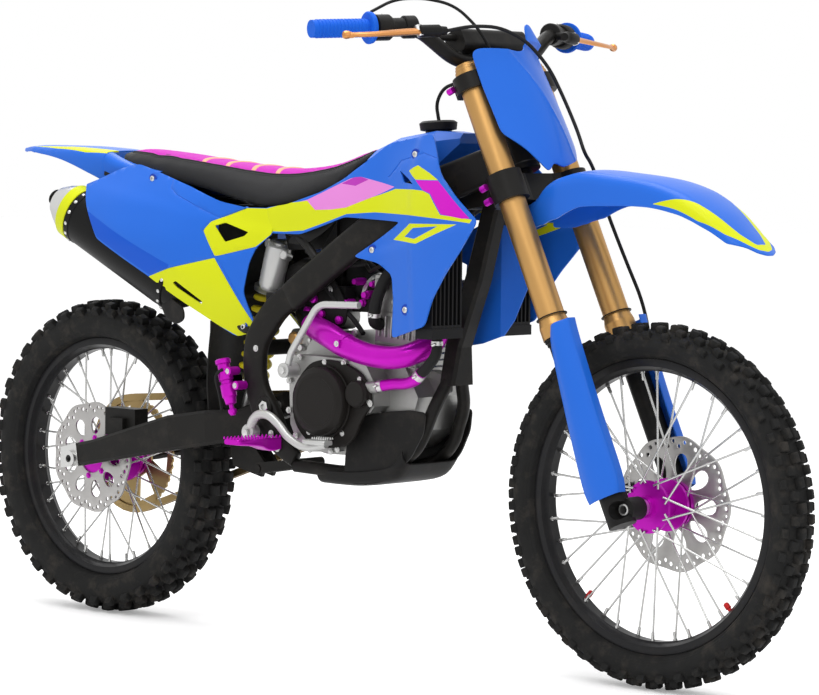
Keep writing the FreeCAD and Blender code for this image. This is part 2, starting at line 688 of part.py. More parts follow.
def makeForkGuards():
    guards = []
    for side in (-1, 1):
        across = side * num(s.legSpacing) / 2
        sections = []
        t = num(s.skin)
        for w, back, front, out in ((30, -12, 56, 9), (70, -14, 64, 10), (200, 2, 66, 10), (330, 22, 72, 10), (372, 38, 76, 8)):
            reach = num(s.footRadius) + out
            middle = back + 0.35 * (front - back)
            outer = [(back, 30), (middle, reach), (front - 10, reach - 8), (front, 18), (front, 0)]
            inner = [(front - t, 0), (front - t, 16), (front - 11 - t / 2, reach - 8 - t), (middle, reach - t), (back, 30 - t)]
            sections.append([at(u, across + side * v, w) for u, v in outer + inner])
        boss = Part.makeCylinder(6, num(s.footRadius) + 12, at(stemReach - 6, across, 42), Vector(0, side, 0))
        foot = Part.makeCylinder(num(s.footRadius) + 0.3, 60, at(s.legAhead, across, 12))
        leg = Part.makeCylinder(num(s.forkCollarRadius) + 0.5, 100, at(s.legAhead, across, num(s.forkTubeBottom) - 10))
        guards.append(fused(loft(sections).cut(leg), boss.cut(foot)))
    feature("fork_guards", Part.makeCompound(guards), steering)


def makeFrontCaliper():
    """Twin-piston body around the disc, on a bracket from the left foot."""
    d = num(s.frontDiscOffset)
    gap = num(s.discGap) + num(s.discThickness) / 2
    body = Part.makeBox(62, 2 * gap + 4 + 26, 74, at(-98, d - gap - 4, 0))
    slot = rod(at(stemReach, d - gap, 0), at(stemReach, d + gap, 0), s.frontDiscRadius + s.discGap)
    bracket = Part.makeBox(54, 10, 28, at(-42, d + gap + 4, 6))
    foot = Part.makeCylinder(num(s.footRadius) + 0.3, 60, at(s.legAhead, num(s.legSpacing) / 2, -10))
    feature("front_caliper", fused(body.cut(slot), bracket.cut(foot)), steering)


def makeControlCables():
    """Brake hose down the left leg and the throttle cable into the head, held all the way."""
    hose = [Vector(67.5, -175, 967), Vector(86, -124, 970), Vector(107, -70, 960), Vector(116, -14, 930), Vector(119, 25, 872),
            Vector(119, 38, 800), Vector(122, 40, 735), Vector(132, 24, 684), Vector(114, 58, 672), Vector(94, 88, 642),
            Vector(80, 102, 582), Vector(72, 118, 490), Vector(66, 136, 392), Vector(24, 148, 250), Vector(-20, 142, 150),
            Vector(-58, 112, 96), Vector(-70, 90, 76)]
    throttle = [Vector(-24, -262, 1048), Vector(-6, -205, 1068), Vector(18, -150, 1062), Vector(44, -96, 1036),
                Vector(54, -60, 980), Vector(48, -38, 930), Vector(32, -30, 894)]
    feature("control_cables", Part.makeCompound([pipe(hose, 3.5), pipe(throttle, 3)]), steering)


# Frame and running gear
def beamSection(x, y, z, angle, height, width, corner=6):
    """A rectangle with cut corners, square to a direction in the side view."""
    up = Vector(-math.sin(angle), 0, math.cos(angle))
    side = Vector(0, 1, 0)
    a, b = height / 2, width / 2
    points = [(a, b - corner), (a - corner, b), (corner - a, b), (-a, b - corner),
              (-a, corner - b), (corner - a, -b), (a - corner, -b), (a, corner - b)]
    return [Vector(x, y, z) + up * p + side * q for p, q in points]


def beam(stations):
    return loft([beamSection(*station) for station in stations])


def makeMainFrame():
    """Head tube, two spars that bow round the tank, and the castings that hold the arm's pivot."""
    axisAt = lambda w: Vector(stemX - w * math.sin(RAKE), 0, stemZ + w * math.cos(RAKE))
    low, high = num(s.headLow), num(s.headHigh)
    head = rod(axisAt(low), axisAt(high), s.headRadius)
    steer = rod(axisAt(low - 5), axisAt(high + 5), num(s.stemRadius) + num(s.fit))
    slope = math.radians(34)
    right = beam([(1108, -24, 986, slope, 70, 28), (1056, -46, 962, slope, 76, 26), (950, -76, 916, slope, 74, 26),
                  (810, -97, 829, slope, 62, 26), (617, -102, 700, slope, 60, 26),
                  (566, -104, 655, math.radians(52), 60, 26),
                  (533, -105, 590, math.radians(80), 56, 24), (537, -105, 530, math.radians(98), 56, 24),
                  (566, -103, 470, math.radians(110), 70, 24), (600, -100, 412, math.radians(118), 52, 24),
                  (640, -94, 378, math.radians(150), 34, 20)])
    cross = rod(Vector(536, -96, 600), Vector(536, 96, 600), 16)
    shockCross = Part.makeBox(40, 188, 24, at(num(s.shockTopAhead) + 50, -94, 690))
    ear = [(590, 692), (618, 712), (526, 816), (486, 814), (486, 790), (560, 692)]
    solid = fused(head, right, mirrored(right), cross, shockCross, prism(ear, 24.6, 9), prism(ear, -33.6, 9))
    pivot = rod(at(s.pivotAhead, -130, s.pivotHeight), at(s.pivotAhead, 130, s.pivotHeight), num(s.pivotRadius) + 0.3)
    solid = solid.cut(steer).cut(pivot)
    feature("main_frame", solid)


def makeLowerCradle():
    """Down tube from the head to the two rails that pass under the engine."""
    tube = beam([(1098, 0, 966, math.radians(64), 40, 36), (1040, 0, 760, math.radians(70), 44, 40),
                 (990, 0, 625, math.radians(76), 42, 42), (984, 0, 545, math.radians(90), 40, 66)])
    right = pipe([Vector(980, -20, 552), Vector(967, -46, 500), Vector(934, -52, 420), Vector(882, -58, 380),
                  Vector(770, -64, 358), Vector(636, -92, 366)], 13, 0.4)
    feature("lower_cradle", largest(fused(tube, right, mirrored(right)).cut(solids["main_frame"])))


def makeSubframe():
    rails = []
    for side in (-1, 1):
        upper = pipe([Vector(690, side * 94, 786), Vector(600, side * 72, 838), Vector(430, side * 66, 872), Vector(160, side * 60, 905)], 9)
        lower = pipe([Vector(552, side * 100, 650), Vector(420, side * 76, 760), Vector(230, side * 60, 896)], 8)
        rails += [upper, lower]
    ties = [rod(Vector(165, -60, 905), Vector(165, 60, 905), 8), rod(Vector(430, -66, 872), Vector(430, 66, 872), 8)]
    feature("subframe", largest(fused(rails[0], *rails[1:], *ties).cut(solids["main_frame"])))


def makeSwingarm():
    """Tapered box arms either side of the wheel, joined ahead of the tyre, on the pivot tube."""
    outer, thick = num(s.armOuter), num(s.armThickness)
    mid = outer - thick / 2
    right = beam([(18, -mid, 348, 0.15, 50, thick), (60, -mid, 356, 0.2, 50, thick), (292, -mid + 3, 411, 0.2, 74, thick),
                  (392, -mid + 14, 428, 0.1, 72, thick + 4), (470, -76, 438, 0.3, 62, 34), (548, -62, 476, 0.5, 54, 38),
                  (590, -60, 488, 0.3, 50, 38)])
    bridge = Part.makeBox(140, 170, 46, at(346, -85, 410)).cut(Part.makeBox(88, 80, 60, at(357, -40, 400)))
    groove = Part.makeBox(150, 40, 60, at(470, num(s.chainOffset) - 10.5, 487))
    solid = fused(right, mirrored(right), bridge).cut(groove)
    pivot = rod(at(s.pivotAhead, -130, s.pivotHeight), at(s.pivotAhead, 130, s.pivotHeight), num(s.pivotRadius) + 0.3)
    solid = solid.cut(pivot)
    feature("swingarm", solid)
    bolt = rod(at(s.pivotAhead, -118, s.pivotHeight), at(s.pivotAhead, 118, s.pivotHeight), s.pivotRadius)
    feature("pivot_bolt", bolt)


def makeRearAxle():
    """Hollow axle with spacers, adjuster blocks and a round nut."""
    reach = num(s.armOuter) + 9
    axle = rod(at(0, -reach, s.rearAxleHeight), at(0, reach, s.rearAxleHeight), s.rearAxleRadius)
    inner = num(s.armOuter) - num(s.armThickness) - 0.3
    hubRight = num(s.rearDiscOffset) - num(s.discThickness) / 2 + num(s.fit)
    hubLeft = num(s.chainOffset) - num(s.sprocketThickness) / 2 + num(s.fit)
    height = num(s.rearAxleHeight)
    spacers = [rod(Vector(0, -inner, height), Vector(0, -hubRight, height), s.spacerRadius),
               rod(Vector(0, hubLeft, height), Vector(0, inner, height), s.spacerRadius)]
    nuts = [rod(Vector(0, -reach, height), Vector(0, -num(s.armOuter) - 0.3, height), 17),
            rod(Vector(0, num(s.armOuter) + 0.3, height), Vector(0, reach, height), 17)]
    solid = fused(axle, *spacers, *nuts)
    feature("rear_axle", solid.cut(rod(Vector(0, -reach - 5, height), Vector(0, reach + 5, height), s.rearAxleBore)))
    end = [(-34, height - 22), (-34, height + 22), (13.2, height + 34), (21.2, height - 15)]
    depth = num(s.armThickness)
    hole = rod(Vector(0, -reach, height), Vector(0, reach, height), num(s.rearAxleRadius) + 0.3)
    blocks = [prism(end, side - depth / 2, depth).cut(hole) for side in (depth / 2 - num(s.armOuter), num(s.armOuter) - depth / 2)]
    feature("axle_blocks", Part.makeCompound(blocks))


shockTop = at(s.shockTopAhead, 0, s.shockTopHeight)
shockBottom = at(s.shockBottomAhead, 0, s.shockBottomHeight)
shockAxis = (shockTop - shockBottom).normalize()


def makeShock():
    """Damper with its eye at the top, reservoir to the right, and clevis at the bottom."""
    body = rod(shockBottom + shockAxis * (num(s.springTop) + 0.4), shockTop - shockAxis * 14, 24)
    shaft = rod(shockBottom + shockAxis * 10, shockBottom + shockAxis * (num(s.springTop) + 10), 9)
    low, high = num(s.springBottom), num(s.springTop)
    seat = rod(shockBottom + shockAxis * (low - 8.4), shockBottom + shockAxis * (low - 0.4), 36)
    ring = rod(shockBottom + shockAxis * (high + 0.4), shockBottom + shockAxis * (high + 12), 36)
    clevis = rod(shockBottom, shockBottom + shockAxis * (low - 8), 11)
    foot = rod(shockBottom - Vector(0, 12, 0), shockBottom + Vector(0, 12, 0), 14)
    eye = rod(shockTop - Vector(0, 24.3, 0), shockTop + Vector(0, 24.3, 0), 20)
    reservoir = rod(shockTop + Vector(-30, -60, -60), shockTop + Vector(-4, -60, 22), 22)
    neck = Part.makeBox(34, 58, 20, shockTop + Vector(-36, -62, -58))
    feature("shock_absorber", fused(body, shaft, seat, ring, clevis, foot, eye, reservoir, neck))


def makeSpring():
    """A coil of round wire between its two seats."""
    height = num(s.springTop) - num(s.springBottom) - 2 * num(s.springWire)
    helix = Part.makeHelix(height / num(s.springTurns), height, num(s.springRadius) - num(s.springWire))
    ring = Part.Wire(Part.Circle(Vector(num(s.springRadius) - num(s.springWire), 0, 0), Vector(0, 1, 0), num(s.springWire)).toShape())
    coil = Part.Wire(helix.Edges).makePipeShell([ring], True, False)
    turn = Rotation(Vector(0, 0, 1), shockAxis)
    coil.Placement = Placement(shockBottom + shockAxis * (num(s.springBottom) + num(s.springWire)), turn)
    feature("shock_spring", coil)


def makeLinkage():
    """Rocker and pull rods under the arm."""
    cheek = [(388, 344), (470, 326), (484, 352), (440, 396), (404, 430), (378, 426), (374, 400)]
    rocker = fused(prism(cheek, -20.3, 8), prism(cheek, 12.3, 8), rod(Vector(412, -20, 358), Vector(412, 20, 358), 9))
    link = [(462, 332), (582, 352), (582, 372), (466, 356)]
    pull = fused(prism(link, -34, 12), prism(link, 22, 12), rod(Vector(472, -36, 344), Vector(472, 36, 344), 9),
                 rod(Vector(578, -46, 362), Vector(578, 46, 362), 10))
    feature("shock_linkage", fused(rocker, pull))


# Engine
def makeEngine():
    """Crankcase, cylinder, head and the covers cast with them."""
    half = num(s.caseHalfWidth)
    case = prism([(612, 430), (650, 402), (700, 393), (800, 395), (870, 414), (922, 452), (944, 520), (905, 585),
                  (800, 600), (700, 590), (640, 560), (608, 500)], -half + 30, 2 * half - 54)
    rightCover = prism([(640, 452), (660, 415), (700, 400), (772, 404), (800, 452), (846, 474), (868, 500), (868, 545),
                        (840, 588), (720, 592), (650, 592), (634, 566)], -half - 14, 50)
    barrel = Part.makeBox(112, 118, 130, Vector(815, -59, 560))
    head = Part.makeBox(126, 132, 70, Vector(812, -66, 684))
    cap = Part.makeBox(104, 112, 42, Vector(822, -56, 748))
    upper = fused(barrel, head, cap)
    upper.rotate(Vector(870, 0, 560), Vector(0, 1, 0), 4)
    magneto = Part.makeCylinder(62, 44, Vector(812, half - 26, 474), Vector(0, 1, 0))
    pump = rod(Vector(834, -100, 524), Vector(834, -134, 524), 21)
    outlet = rod(Vector(830, -116, 532), Vector(871.6, -106, 540), 13)
    rearLug = fused(rod(at(s.pivotAhead, -38, s.pivotHeight), at(s.pivotAhead, 38, s.pivotHeight), 20),
                    prism([(573, 466), (640, 452), (640, 512), (573, 500)], -38, 76))
    frontLug = prism([(930, 515), (962.5, 530), (962.5, 562), (915, 575)], -14, 28)
    solid = fused(case, rightCover, upper, magneto, pump, outlet, rearLug, frontLug)
    pocket = Part.makeCylinder(54, 60, at(s.countershaftAhead, num(s.chainOffset) - 10, s.countershaftHeight), Vector(0, 1, 0))
    pocket = pocket.fuse(Part.makeBox(60, 40, 26, at(596, num(s.chainOffset) - 10, 408)))
    shaft = rod(at(s.countershaftAhead, 40, s.countershaftHeight), at(s.countershaftAhead, 84, s.countershaftHeight), 12)
    small = rod(at(s.countershaftAhead, num(s.chainOffset) - 4, s.countershaftHeight),
                at(s.countershaftAhead, num(s.chainOffset) + 4, s.countershaftHeight),
                num(s.smallSprocketRadius) - 4.3)
    pivot = rod(at(s.pivotAhead, -60, s.pivotHeight), at(s.pivotAhead, 60, s.pivotHeight), num(s.pivotRadius) + 0.3)
    feature("engine", largest(solid.cut(pocket).cut(pivot).fuse([shaft, small]).cut(solids["lower_cradle"]).cut(skidWings(0.4, 60))))


def makeClutchCover():
    body = newBody("clutch_cover", bike * Placement(at(s.clutchAhead, 0, s.clutchHeight), Rotation(Vector(1, 0, 0), 90)))
    face = s.clutchFace
    radius = s.clutchRadius
    foot = s.caseHalfWidth + 14.4
    revolved(body, "CoverSection", [(0, foot), (radius, foot), (radius, face - 12), (radius - 12, face), (0, face)])


def makeKickStarter():
    lever = pipe([Vector(650, -134, 562), Vector(668, -142, 598), Vector(745, -146, 698), Vector(850, -140, 700)], 7, 0.2)
    boss = rod(Vector(650, -112.4, 562), Vector(650, -146, 562), 15)
    feature("kick_starter", fused(lever, boss))


def makeBrakePedal():
    lever = pipe([Vector(545, -128, 430), Vector(568, -138, 470), Vector(620, -142, 470), Vector(665, -146, 430),
                  Vector(720, -150, 412), Vector(772, -152, 422)], 7, 0.3)
    pad = Part.makeBox(46, 28, 8, Vector(748, -170, 424))
    boss = rod(Vector(545, -114.3, 430), Vector(545, -142, 430), 14)
    feature("brake_pedal", fused(lever, pad, boss))


def makeGearLever():
    lever = pipe([Vector(676, 112, 412), Vector(730, 126, 412), Vector(796, 132, 426)], 6, 0.3)
    rubber = rod(Vector(796, 118, 426), Vector(796, 156, 426), 9)
    boss = rod(Vector(676, 74.3, 412), Vector(676, 120, 412), 11)
    feature("gear_lever", fused(lever, rubber, boss))


def makeFootpegs():
    pegs = []
    for side in (-1, 1):
        top = [(588, 113.2), (616, 113.2), (612, 150), (616, 234), (570, 234), (576, 150)]
        corners = [at(x, side * y, 410) for x, y in top]
        plate = Part.Face(Part.makePolygon(corners + [corners[0]])).extrude(Vector(0, 0, 14))
        pegs.append(plate)
    feature("footpegs", Part.makeCompound(pegs))


def makeRearBrake():
    """Master cylinder by the frame's casting, and the caliper on the arm."""
    low, high = Vector(500, -136, 474), Vector(472, -136, 566)
    along = (high - low).normalize()
    solid = fused(rod(low, high, 11), rod(high - along * 14, high + along * 34, 15),
                  Part.makeBox(34, 12.7, 34, Vector(486, -130, 508)))
    feature("rear_master_cylinder", solid)
    d = -num(s.rearDiscOffset)
    gap = num(s.discGap) + num(s.discThickness) / 2
    body = Part.makeBox(92, 2 * gap + 10 + 14, 58, Vector(62, d - gap - 14, 392))
    slot = rod(at(0, d - gap, s.rearAxleHeight), at(0, d + gap, s.rearAxleHeight), s.rearDiscRadius + s.discGap)
    armInside = num(s.armOuter) - num(s.armThickness) - 1
    bracket = Part.makeBox(44, armInside + d - gap - 10, 44, Vector(84, -armInside, 386))
    feature("rear_caliper", fused(body.cut(slot), bracket))


def makeExhaust():
    """Header from the front of the head round the right side, mid pipe, and the oval can."""
    points = [Vector(949.5, -34, 692), Vector(974, -40, 674), Vector(977, -62, 632), Vector(950, -98, 608),
              Vector(912, -113, 601), Vector(860, -117, 604), Vector(800, -118, 616), Vector(740, -112, 638),
              Vector(640, -67, 646), Vector(560, -61, 658), Vector(470, -62, 676), Vector(400, -92, 692),
              Vector(346, -num(s.mufflerOffset), 700)]
    pipes = pipe(points, s.headerRadius, 0.42)
    rear = Vector(12, -num(s.mufflerOffset), 858)
    front = Vector(314, -num(s.mufflerOffset), 715)
    along = (rear - front).normalize()
    angle = math.atan2(rear.z - front.z, rear.x - front.x)

    def oval(centre, wide, tall, count=16):
        up = Vector(-along.z, 0, along.x)
        if up.z < 0:
            up = up * -1
        return [centre + up * (tall * math.cos(2 * math.pi * k / count)) + Vector(0, wide * math.sin(2 * math.pi * k / count), 0)
                for k in range(count)]
    wide, tall = num(s.mufflerWide), num(s.mufflerTall)
    can = loft([oval(front - along * 34, 26, 28), oval(front, wide - 4, tall - 8), oval(front + along * 40, wide, tall), oval(rear, wide, tall)])
    feature("exhaust_header", largest(pipes.cut(can).cut(solids["engine"])))
    feature("muffler", can)
    cap = loft([oval(rear + along * 0.4, wide + 2, tall + 2), oval(rear + along * 26, wide + 2, tall + 2), oval(rear + along * 28, wide - 6, tall - 6),
                oval(rear + along * 70, 30, 34)])
    tip = rod(rear + along * 40, rear + along * 90, 17)
    feature("muffler_cap", cap.cut(tip))


def makeIntake():
    """Airbox under the seat, throttle body behind the cylinder and the flap ahead of the wheel."""
    box = prism([(574, 800), (690, 806), (770, 850), (760, 900), (640, 870), (575, 883.6), (545, 884.7), (446, 877), (446, 860),
                 (556, 860)], -54, 108)
    body = pipe([Vector(668, 0, 830), Vector(720, 0, 750), Vector(812, 0, 706)], 30, 0.3)
    flap = Part.makeBox(4, 108, 190, Vector(350, -54, 456.3))
    feature("airbox", largest(fused(box, body).cut(solids["engine"])))
    feature("mud_flap", flap)


def makeRadiators():
    inner, outer = num(s.radiatorInside), num(s.radiatorOutside)
    cores = []
    for side in (-1, 1):
        start = inner if side > 0 else -outer
        core = Part.makeBox(38, outer - inner - 4, 196, at(1010, start + 2, 662))
        for k in range(7):
            core = core.cut(Part.makeBox(12, 8, 184, at(1040, start + 5 + 12 * k, 668)))
        lower = Part.makeBox(42, outer - inner, 20, at(1008, start, 642))
        upper = Part.makeBox(42, outer - inner, 18, at(1008, start, 858))
        tab = Part.makeBox(24, 16, 70, at(1014, inner if side > 0 else -inner - 16, 866))
        cores.append(fused(core, lower, upper, largest(tab.cut(solids["main_frame"]))))
    feature("radiators", Part.makeCompound(cores))


def makeAirGuide():
    """A bent blade at the left radiator, down its inner side and out across its front."""
    outline = [(956, 617), (1003, 625), (1054, 642), (1068, 673), (1083, 729), (1091, 757), (1092, 860), (1000, 860),
               (962, 800), (954, 700)]
    plan = [(900, 58), (1050, 58), (1100, 112), (1110, 123)]
    feature("air_guide", sheetPanel(outline, [(600, plan), (900, plan)], 3, 1))


def makeHoses():
    lower = pipe([Vector(872.8, -105.7, 540.2), Vector(904, -98.3, 546.2), Vector(944, -98, 550), Vector(976, -102, 564),
                  Vector(1002, -103, 588), Vector(1021, -101, 610), Vector(1021, -101, 641.7)], 11)
    upper = pipe([Vector(838, -60, 656), Vector(838, -82, 664), Vector(848, -86, 710), Vector(866, -80, 752), Vector(884, -72, 776)], 12)
    upper = largest(upper.cut(solids["engine"]))
    feature("coolant_hoses", Part.makeCompound([lower, upper]))


# Bodywork
def shroudLevels():
    low = [(560, 96), (700, 106), (800, 120), (870, 124), (1000, 157), (1100, 172), (1210, 184)]
    middle = [(560, 94), (700, 104), (800, 118), (870, 121), (1000, 153), (1100, 172), (1210, 184)]
    high = [(560, 80), (700, 84), (800, 86), (870, 88), (1000, 100), (1100, 112), (1210, 120)]
    return [(600, low), (880, middle), (960, [(x, y - 12) for x, y in middle]), (1045, high)]


def makeShrouds():
    outline = [(560, 834), (553, 884), (606, 894), (700, 920), (770, 948), (836, 988), (880, 1018), (1006, 1038), (1040, 1001),
               (1072, 960), (1127, 916), (1190, 872), (1148, 818), (1103, 768), (1067, 719), (1046, 668), (936, 639),
               (939, 713), (932, 762), (884, 784), (812, 795), (884, 833), (950, 866), (781, 872), (646, 834)]
    window = prism([(932, 966), (955, 956), (990, 940), (953, 943)], -200, 400)
    sides = [sheetPanel(outline, shroudLevels(), s.skin, side).cut(window) for side in (-1, 1)]
    feature("shrouds", Part.makeCompound(sides))


def makeTank():
    sections = [[at(x, y, z) for y, z in ring] for x, ring in (
        (800, [(-66, 880), (-66, 985), (-40, 1004), (40, 1004), (66, 985), (66, 880)]),
        (870, [(-74, 880), (-74, 1012), (-44, 1030), (44, 1030), (74, 1012), (74, 880)]),
        (960, [(-66, 960), (-66, 1022), (-40, 1044), (40, 1044), (66, 1022), (66, 960)]),
        (1012, [(-30, 1020), (-30, 1030), (-20, 1040), (20, 1040), (30, 1030), (30, 1020)]))]
    neck = rod(at(930, 0, 1000), at(930, 0, 1060), 27)
    feature("fuel_tank", largest(loft(sections).cut(neck).cut(solids["main_frame"])))


def makeFuelCap():
    body = newBody("fuel_cap", bike * Placement(Vector(930, 0, 1040), Rotation(Vector(0, 1, 0), -4)))
    revolved(body, "CapSection", [(0, -4), (26, -4), (26, 4), (36, 6), (38, 20), (32, 24), (0, 24)])


def makeVentHose():
    axisAt = lambda w: Vector(stemX - w * math.sin(RAKE), 0, stemZ + w * math.cos(RAKE))
    feature("vent_hose", pipe([Vector(930, 0, 1064.4), Vector(922, 0, 1098), Vector(940, 0, 1128), Vector(978, 0, 1140), Vector(1020, 0, 1143), axisAt(903)], 3.5))


def makeSeat():
    sections = []
    for x, top, bottom, half in ((63, 999, 975, 44), (130, 1002, 950, 64), (344, 985, 918, 72), (480, 974, 888, 74),
                                 (570, 968, 884, 72), (673, 978, 916, 66), (806, 1020, 1008, 50)):
        sections.append([at(x, -half, bottom), at(x, -half - 2, (top + bottom) / 2), at(x, -half + 14, top - 4), at(x, 0, top),
                         at(x, half - 14, top - 4), at(x, half + 2, (top + bottom) / 2), at(x, half, bottom)])
    feature("seat", loft(sections))


def makeSidePanels():
    outline = [(40, 930), (127, 950), (218, 962), (315, 944), (498, 886), (548, 884), (556, 836), (531, 803), (516, 774), (502, 712),
               (522, 656), (522, 632), (475, 620), (367, 682), (270, 739), (122, 813), (80, 871)]
    low = [(0, 166), (150, 172), (300, 162), (420, 134), (500, 112), (600, 96)]
    middle = [(0, 150), (150, 152), (300, 142), (420, 124), (500, 104), (600, 92)]
    high = [(0, 108), (150, 104), (300, 98), (420, 92), (500, 88), (600, 84)]
    levels = [(600, [(x, y - 4) for x, y in low]), (800, low), (880, middle), (970, high)]
    window = prism([(437, 847), (459, 854), (513, 835), (504, 827), (462, 814)], -200, 400)
    slot = prism([(337, 727), (346, 731), (405, 690), (402, 684), (346, 717)], -200, 400)
    sides = []
    for side in (-1, 1):
        post = rod(Vector(300, side * 86.8, 888), Vector(300, side * 138, 888), 8)
        sides.append(fused(sheetPanel(outline, levels, s.skin, side), post).cut(window).cut(slot))
    feature("side_panels", Part.makeCompound(sides))


def makeRearFender():
    stations = ((-266, 1000, 30, 6), (-236, 1006, 54, 12), (-190, 1008, 70, 16), (-80, 1007, 84, 28), (40, 1000, 88, 44), (58, 999, 86, 50),
                (61, 972, 86, 26), (130, 944, 88, 30), (330, 900.6, 86, 20))
    sections = []
    t = num(s.skin)
    for x, height, half, drop in stations:
        outer = [at(x, -half, height - drop), at(x, -half + 16, height - 3), at(x, 0, height), at(x, half - 16, height - 3), at(x, half, height - drop)]
        inner = [at(x, half - t, height - drop), at(x, half - 16 - t / 2, height - 3 - t), at(x, 0, height - t),
                 at(x, -half + 16 + t / 2, height - 3 - t), at(x, -half + t, height - drop)]
        sections.append(outer + inner)
    feature("rear_fender", loft(sections))


def skidWings(room, thickness):
    """Both side wings of the skid plate, or the space they need, room wider all round."""
    outline = [(764, 337), (780, 338), (890, 358), (936, 404), (966, 493), (940, 492), (850, 485), (791, 467), (764, 400)]
    if room:
        outline = [(762, 330), (780, 330), (900, 340), (960, 400), (990, 500), (940, 494), (849, 487), (789, 469), (762, 401)]
    out = thickness - num(s.skin) - room if room else 0
    plan = [(690, 93 + out), (790, 86 + out), (900, 80 + out), (1000, 66 + out)]
    levels = [(320, [(x, y - 12) for x, y in plan]), (375, plan), (510, plan)]
    return Part.makeCompound([sheetPanel(outline, levels, thickness, side) for side in (-1, 1)])


def makeSkidPlate():
    """A tray under the rails, with a wing up each side."""
    tray = prism([(684, 337), (780, 338), (890, 356), (920, 386), (917, 389), (886, 360), (779, 342), (684, 341)], -74, 148)
    feature("skid_plate", fused(tray, skidWings(0, num(s.skin))))


def sixSided(centre, radius, depth):
    corners = [centre + Vector(math.cos(k * math.pi / 3), 0, math.sin(k * math.pi / 3)) * num(radius) for k in range(7)]
    return Part.Face(Part.makePolygon(corners)).extrude(Vector(0, depth, 0))


def makeChain():
    """A fixed loop: two rows of side plates tangent to both sprockets, and rollers on the straight runs."""
    bigRadius = num(s.sprocketRadius) + num(s.chainHeight) / 2 - 4
    smallRadius = num(s.smallSprocketRadius) + num(s.chainHeight) / 2 - 4
    big = at(0, 0, s.rearAxleHeight)
    small = at(s.countershaftAhead, 0, s.countershaftHeight)
    span = small - big
    tilt = math.atan2(span.z, span.x)
    open_ = math.asin((bigRadius - smallRadius) / span.Length)

    def bend(centre, radius, start, turn, steps):
        return [centre + Vector(math.cos(start + turn * k / steps), 0, math.sin(start + turn * k / steps)) * radius
                for k in range(steps + 1)]

    def loop(offset):
        upper = tilt + math.pi / 2 - open_
        points = bend(big, bigRadius + offset, upper, math.pi + 2 * open_, 18)
        points += bend(small, smallRadius + offset, tilt - math.pi / 2 + open_, math.pi - 2 * open_, 7)
        return Part.makePolygon(points + [points[0]])
    half = num(s.chainHeight) / 2
    ring = Part.Face(loop(half)).cut(Part.Face(loop(-half)))
    plates = []
    for y in (num(s.chainOffset) - num(s.chainInnerWidth) / 2 - num(s.chainPlate), num(s.chainOffset) + num(s.chainInnerWidth) / 2):
        plate = ring.extrude(at(0, s.chainPlate, 0))
        plate.translate(Vector(0, y, 0))
        plates.append(plate)
    rollers = []
    steps = int(span.Length / num(s.linkPitch)) - 6
    for k in ((i + 3) / (steps + 6) for i in range(0, steps + 1, 2)):
        for sign in (1, -1):
            normal = tilt + sign * (math.pi / 2 - open_)
            outward = Vector(math.cos(normal), 0, math.sin(normal))
            a = big + outward * bigRadius
            b = small + outward * smallRadius
            centre = a + (b - a) * k
            rollers.append(sixSided(centre + at(0, s.chainOffset - 6, 0), s.rollerRadius, 12))
    feature("chain", fused(plates[0], plates[1], *rollers))


def makeSprocket():
    body = newBody("rear_sprocket", rearWheel)
    lift = s.chainOffset - s.sprocketThickness * 0.5
    blank = circleSketch(body, "SprocketBlank", "XY_Plane", [(0, 0, s.sprocketRadius), (0, 0, Size(34, "34"))], lift)
    padded(body, "SprocketPlate", blank, s.sprocketThickness)
    window = outlineSketch(body, "SprocketWindow", "XY_Plane", [(52, -12), (52, 12), (98, 40), (104, -12)], s.chainOffset + 0)
    cutAway(body, "SprocketOpening", window, s.sprocketThickness * 3, 6)
    gullet = circleSketch(body, "ToothGap", "XY_Plane", [(s.sprocketRadius + 2.5, 0, s.rollerRadius + 1)], s.chainOffset + 0)
    cutAway(body, "ToothRing", gullet, s.sprocketThickness * 3, round(math.pi * (2 * num(s.sprocketRadius) + 7) / num(s.linkPitch)))


makeWheels()
makeForkTubes()
makeForkSliders()
makeFrontAxle()
makeTripleClamps()
makeHandlebar()
makeGrips()
makeControlLevers()
makeNumberPlate()
makeFrontFender()
makeForkGuards()
makeFrontCaliper()
makeControlCables()
makeMainFrame()
makeLowerCradle()
makeSubframe()
makeSwingarm()
makeRearAxle()
makeShock()
makeSpring()
makeLinkage()
makeEngine()
makeClutchCover()
makeKickStarter()
makeBrakePedal()
makeGearLever()
makeFootpegs()
makeRearBrake()
makeExhaust()
makeIntake()
makeRadiators()
makeAirGuide()
makeHoses()
makeShrouds()
makeTank()
makeFuelCap()
makeVentHose()
makeSeat()
makeSidePanels()
makeRearFender()
makeSkidPlate()
makeChain()
document.recompute()
os.makedirs("parts", exist_ok=True)
faulty = []
for item in pieces:
    if "Invalid" in item.State or "Error" in item.State or item.Shape.isNull() or not item.Shape.isValid():
        faulty.append(item.Label)
for item in pieces:
    print(item.Label, len(item.Shape.Solids), round(item.Shape.Volume / 1000))
if faulty:
    raise RuntimeError("failed: " + ", ".join(faulty))
for item in pieces:
    item.Shape.exportStep(f"parts/{item.Label}.step")
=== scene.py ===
import math

import bmesh
import bpy
from mathutils import Matrix, Vector
from mathutils.bvhtree import BVHTree
from mathutils.geometry import delaunay_2d_cdt
from mathutils.kdtree import KDTree


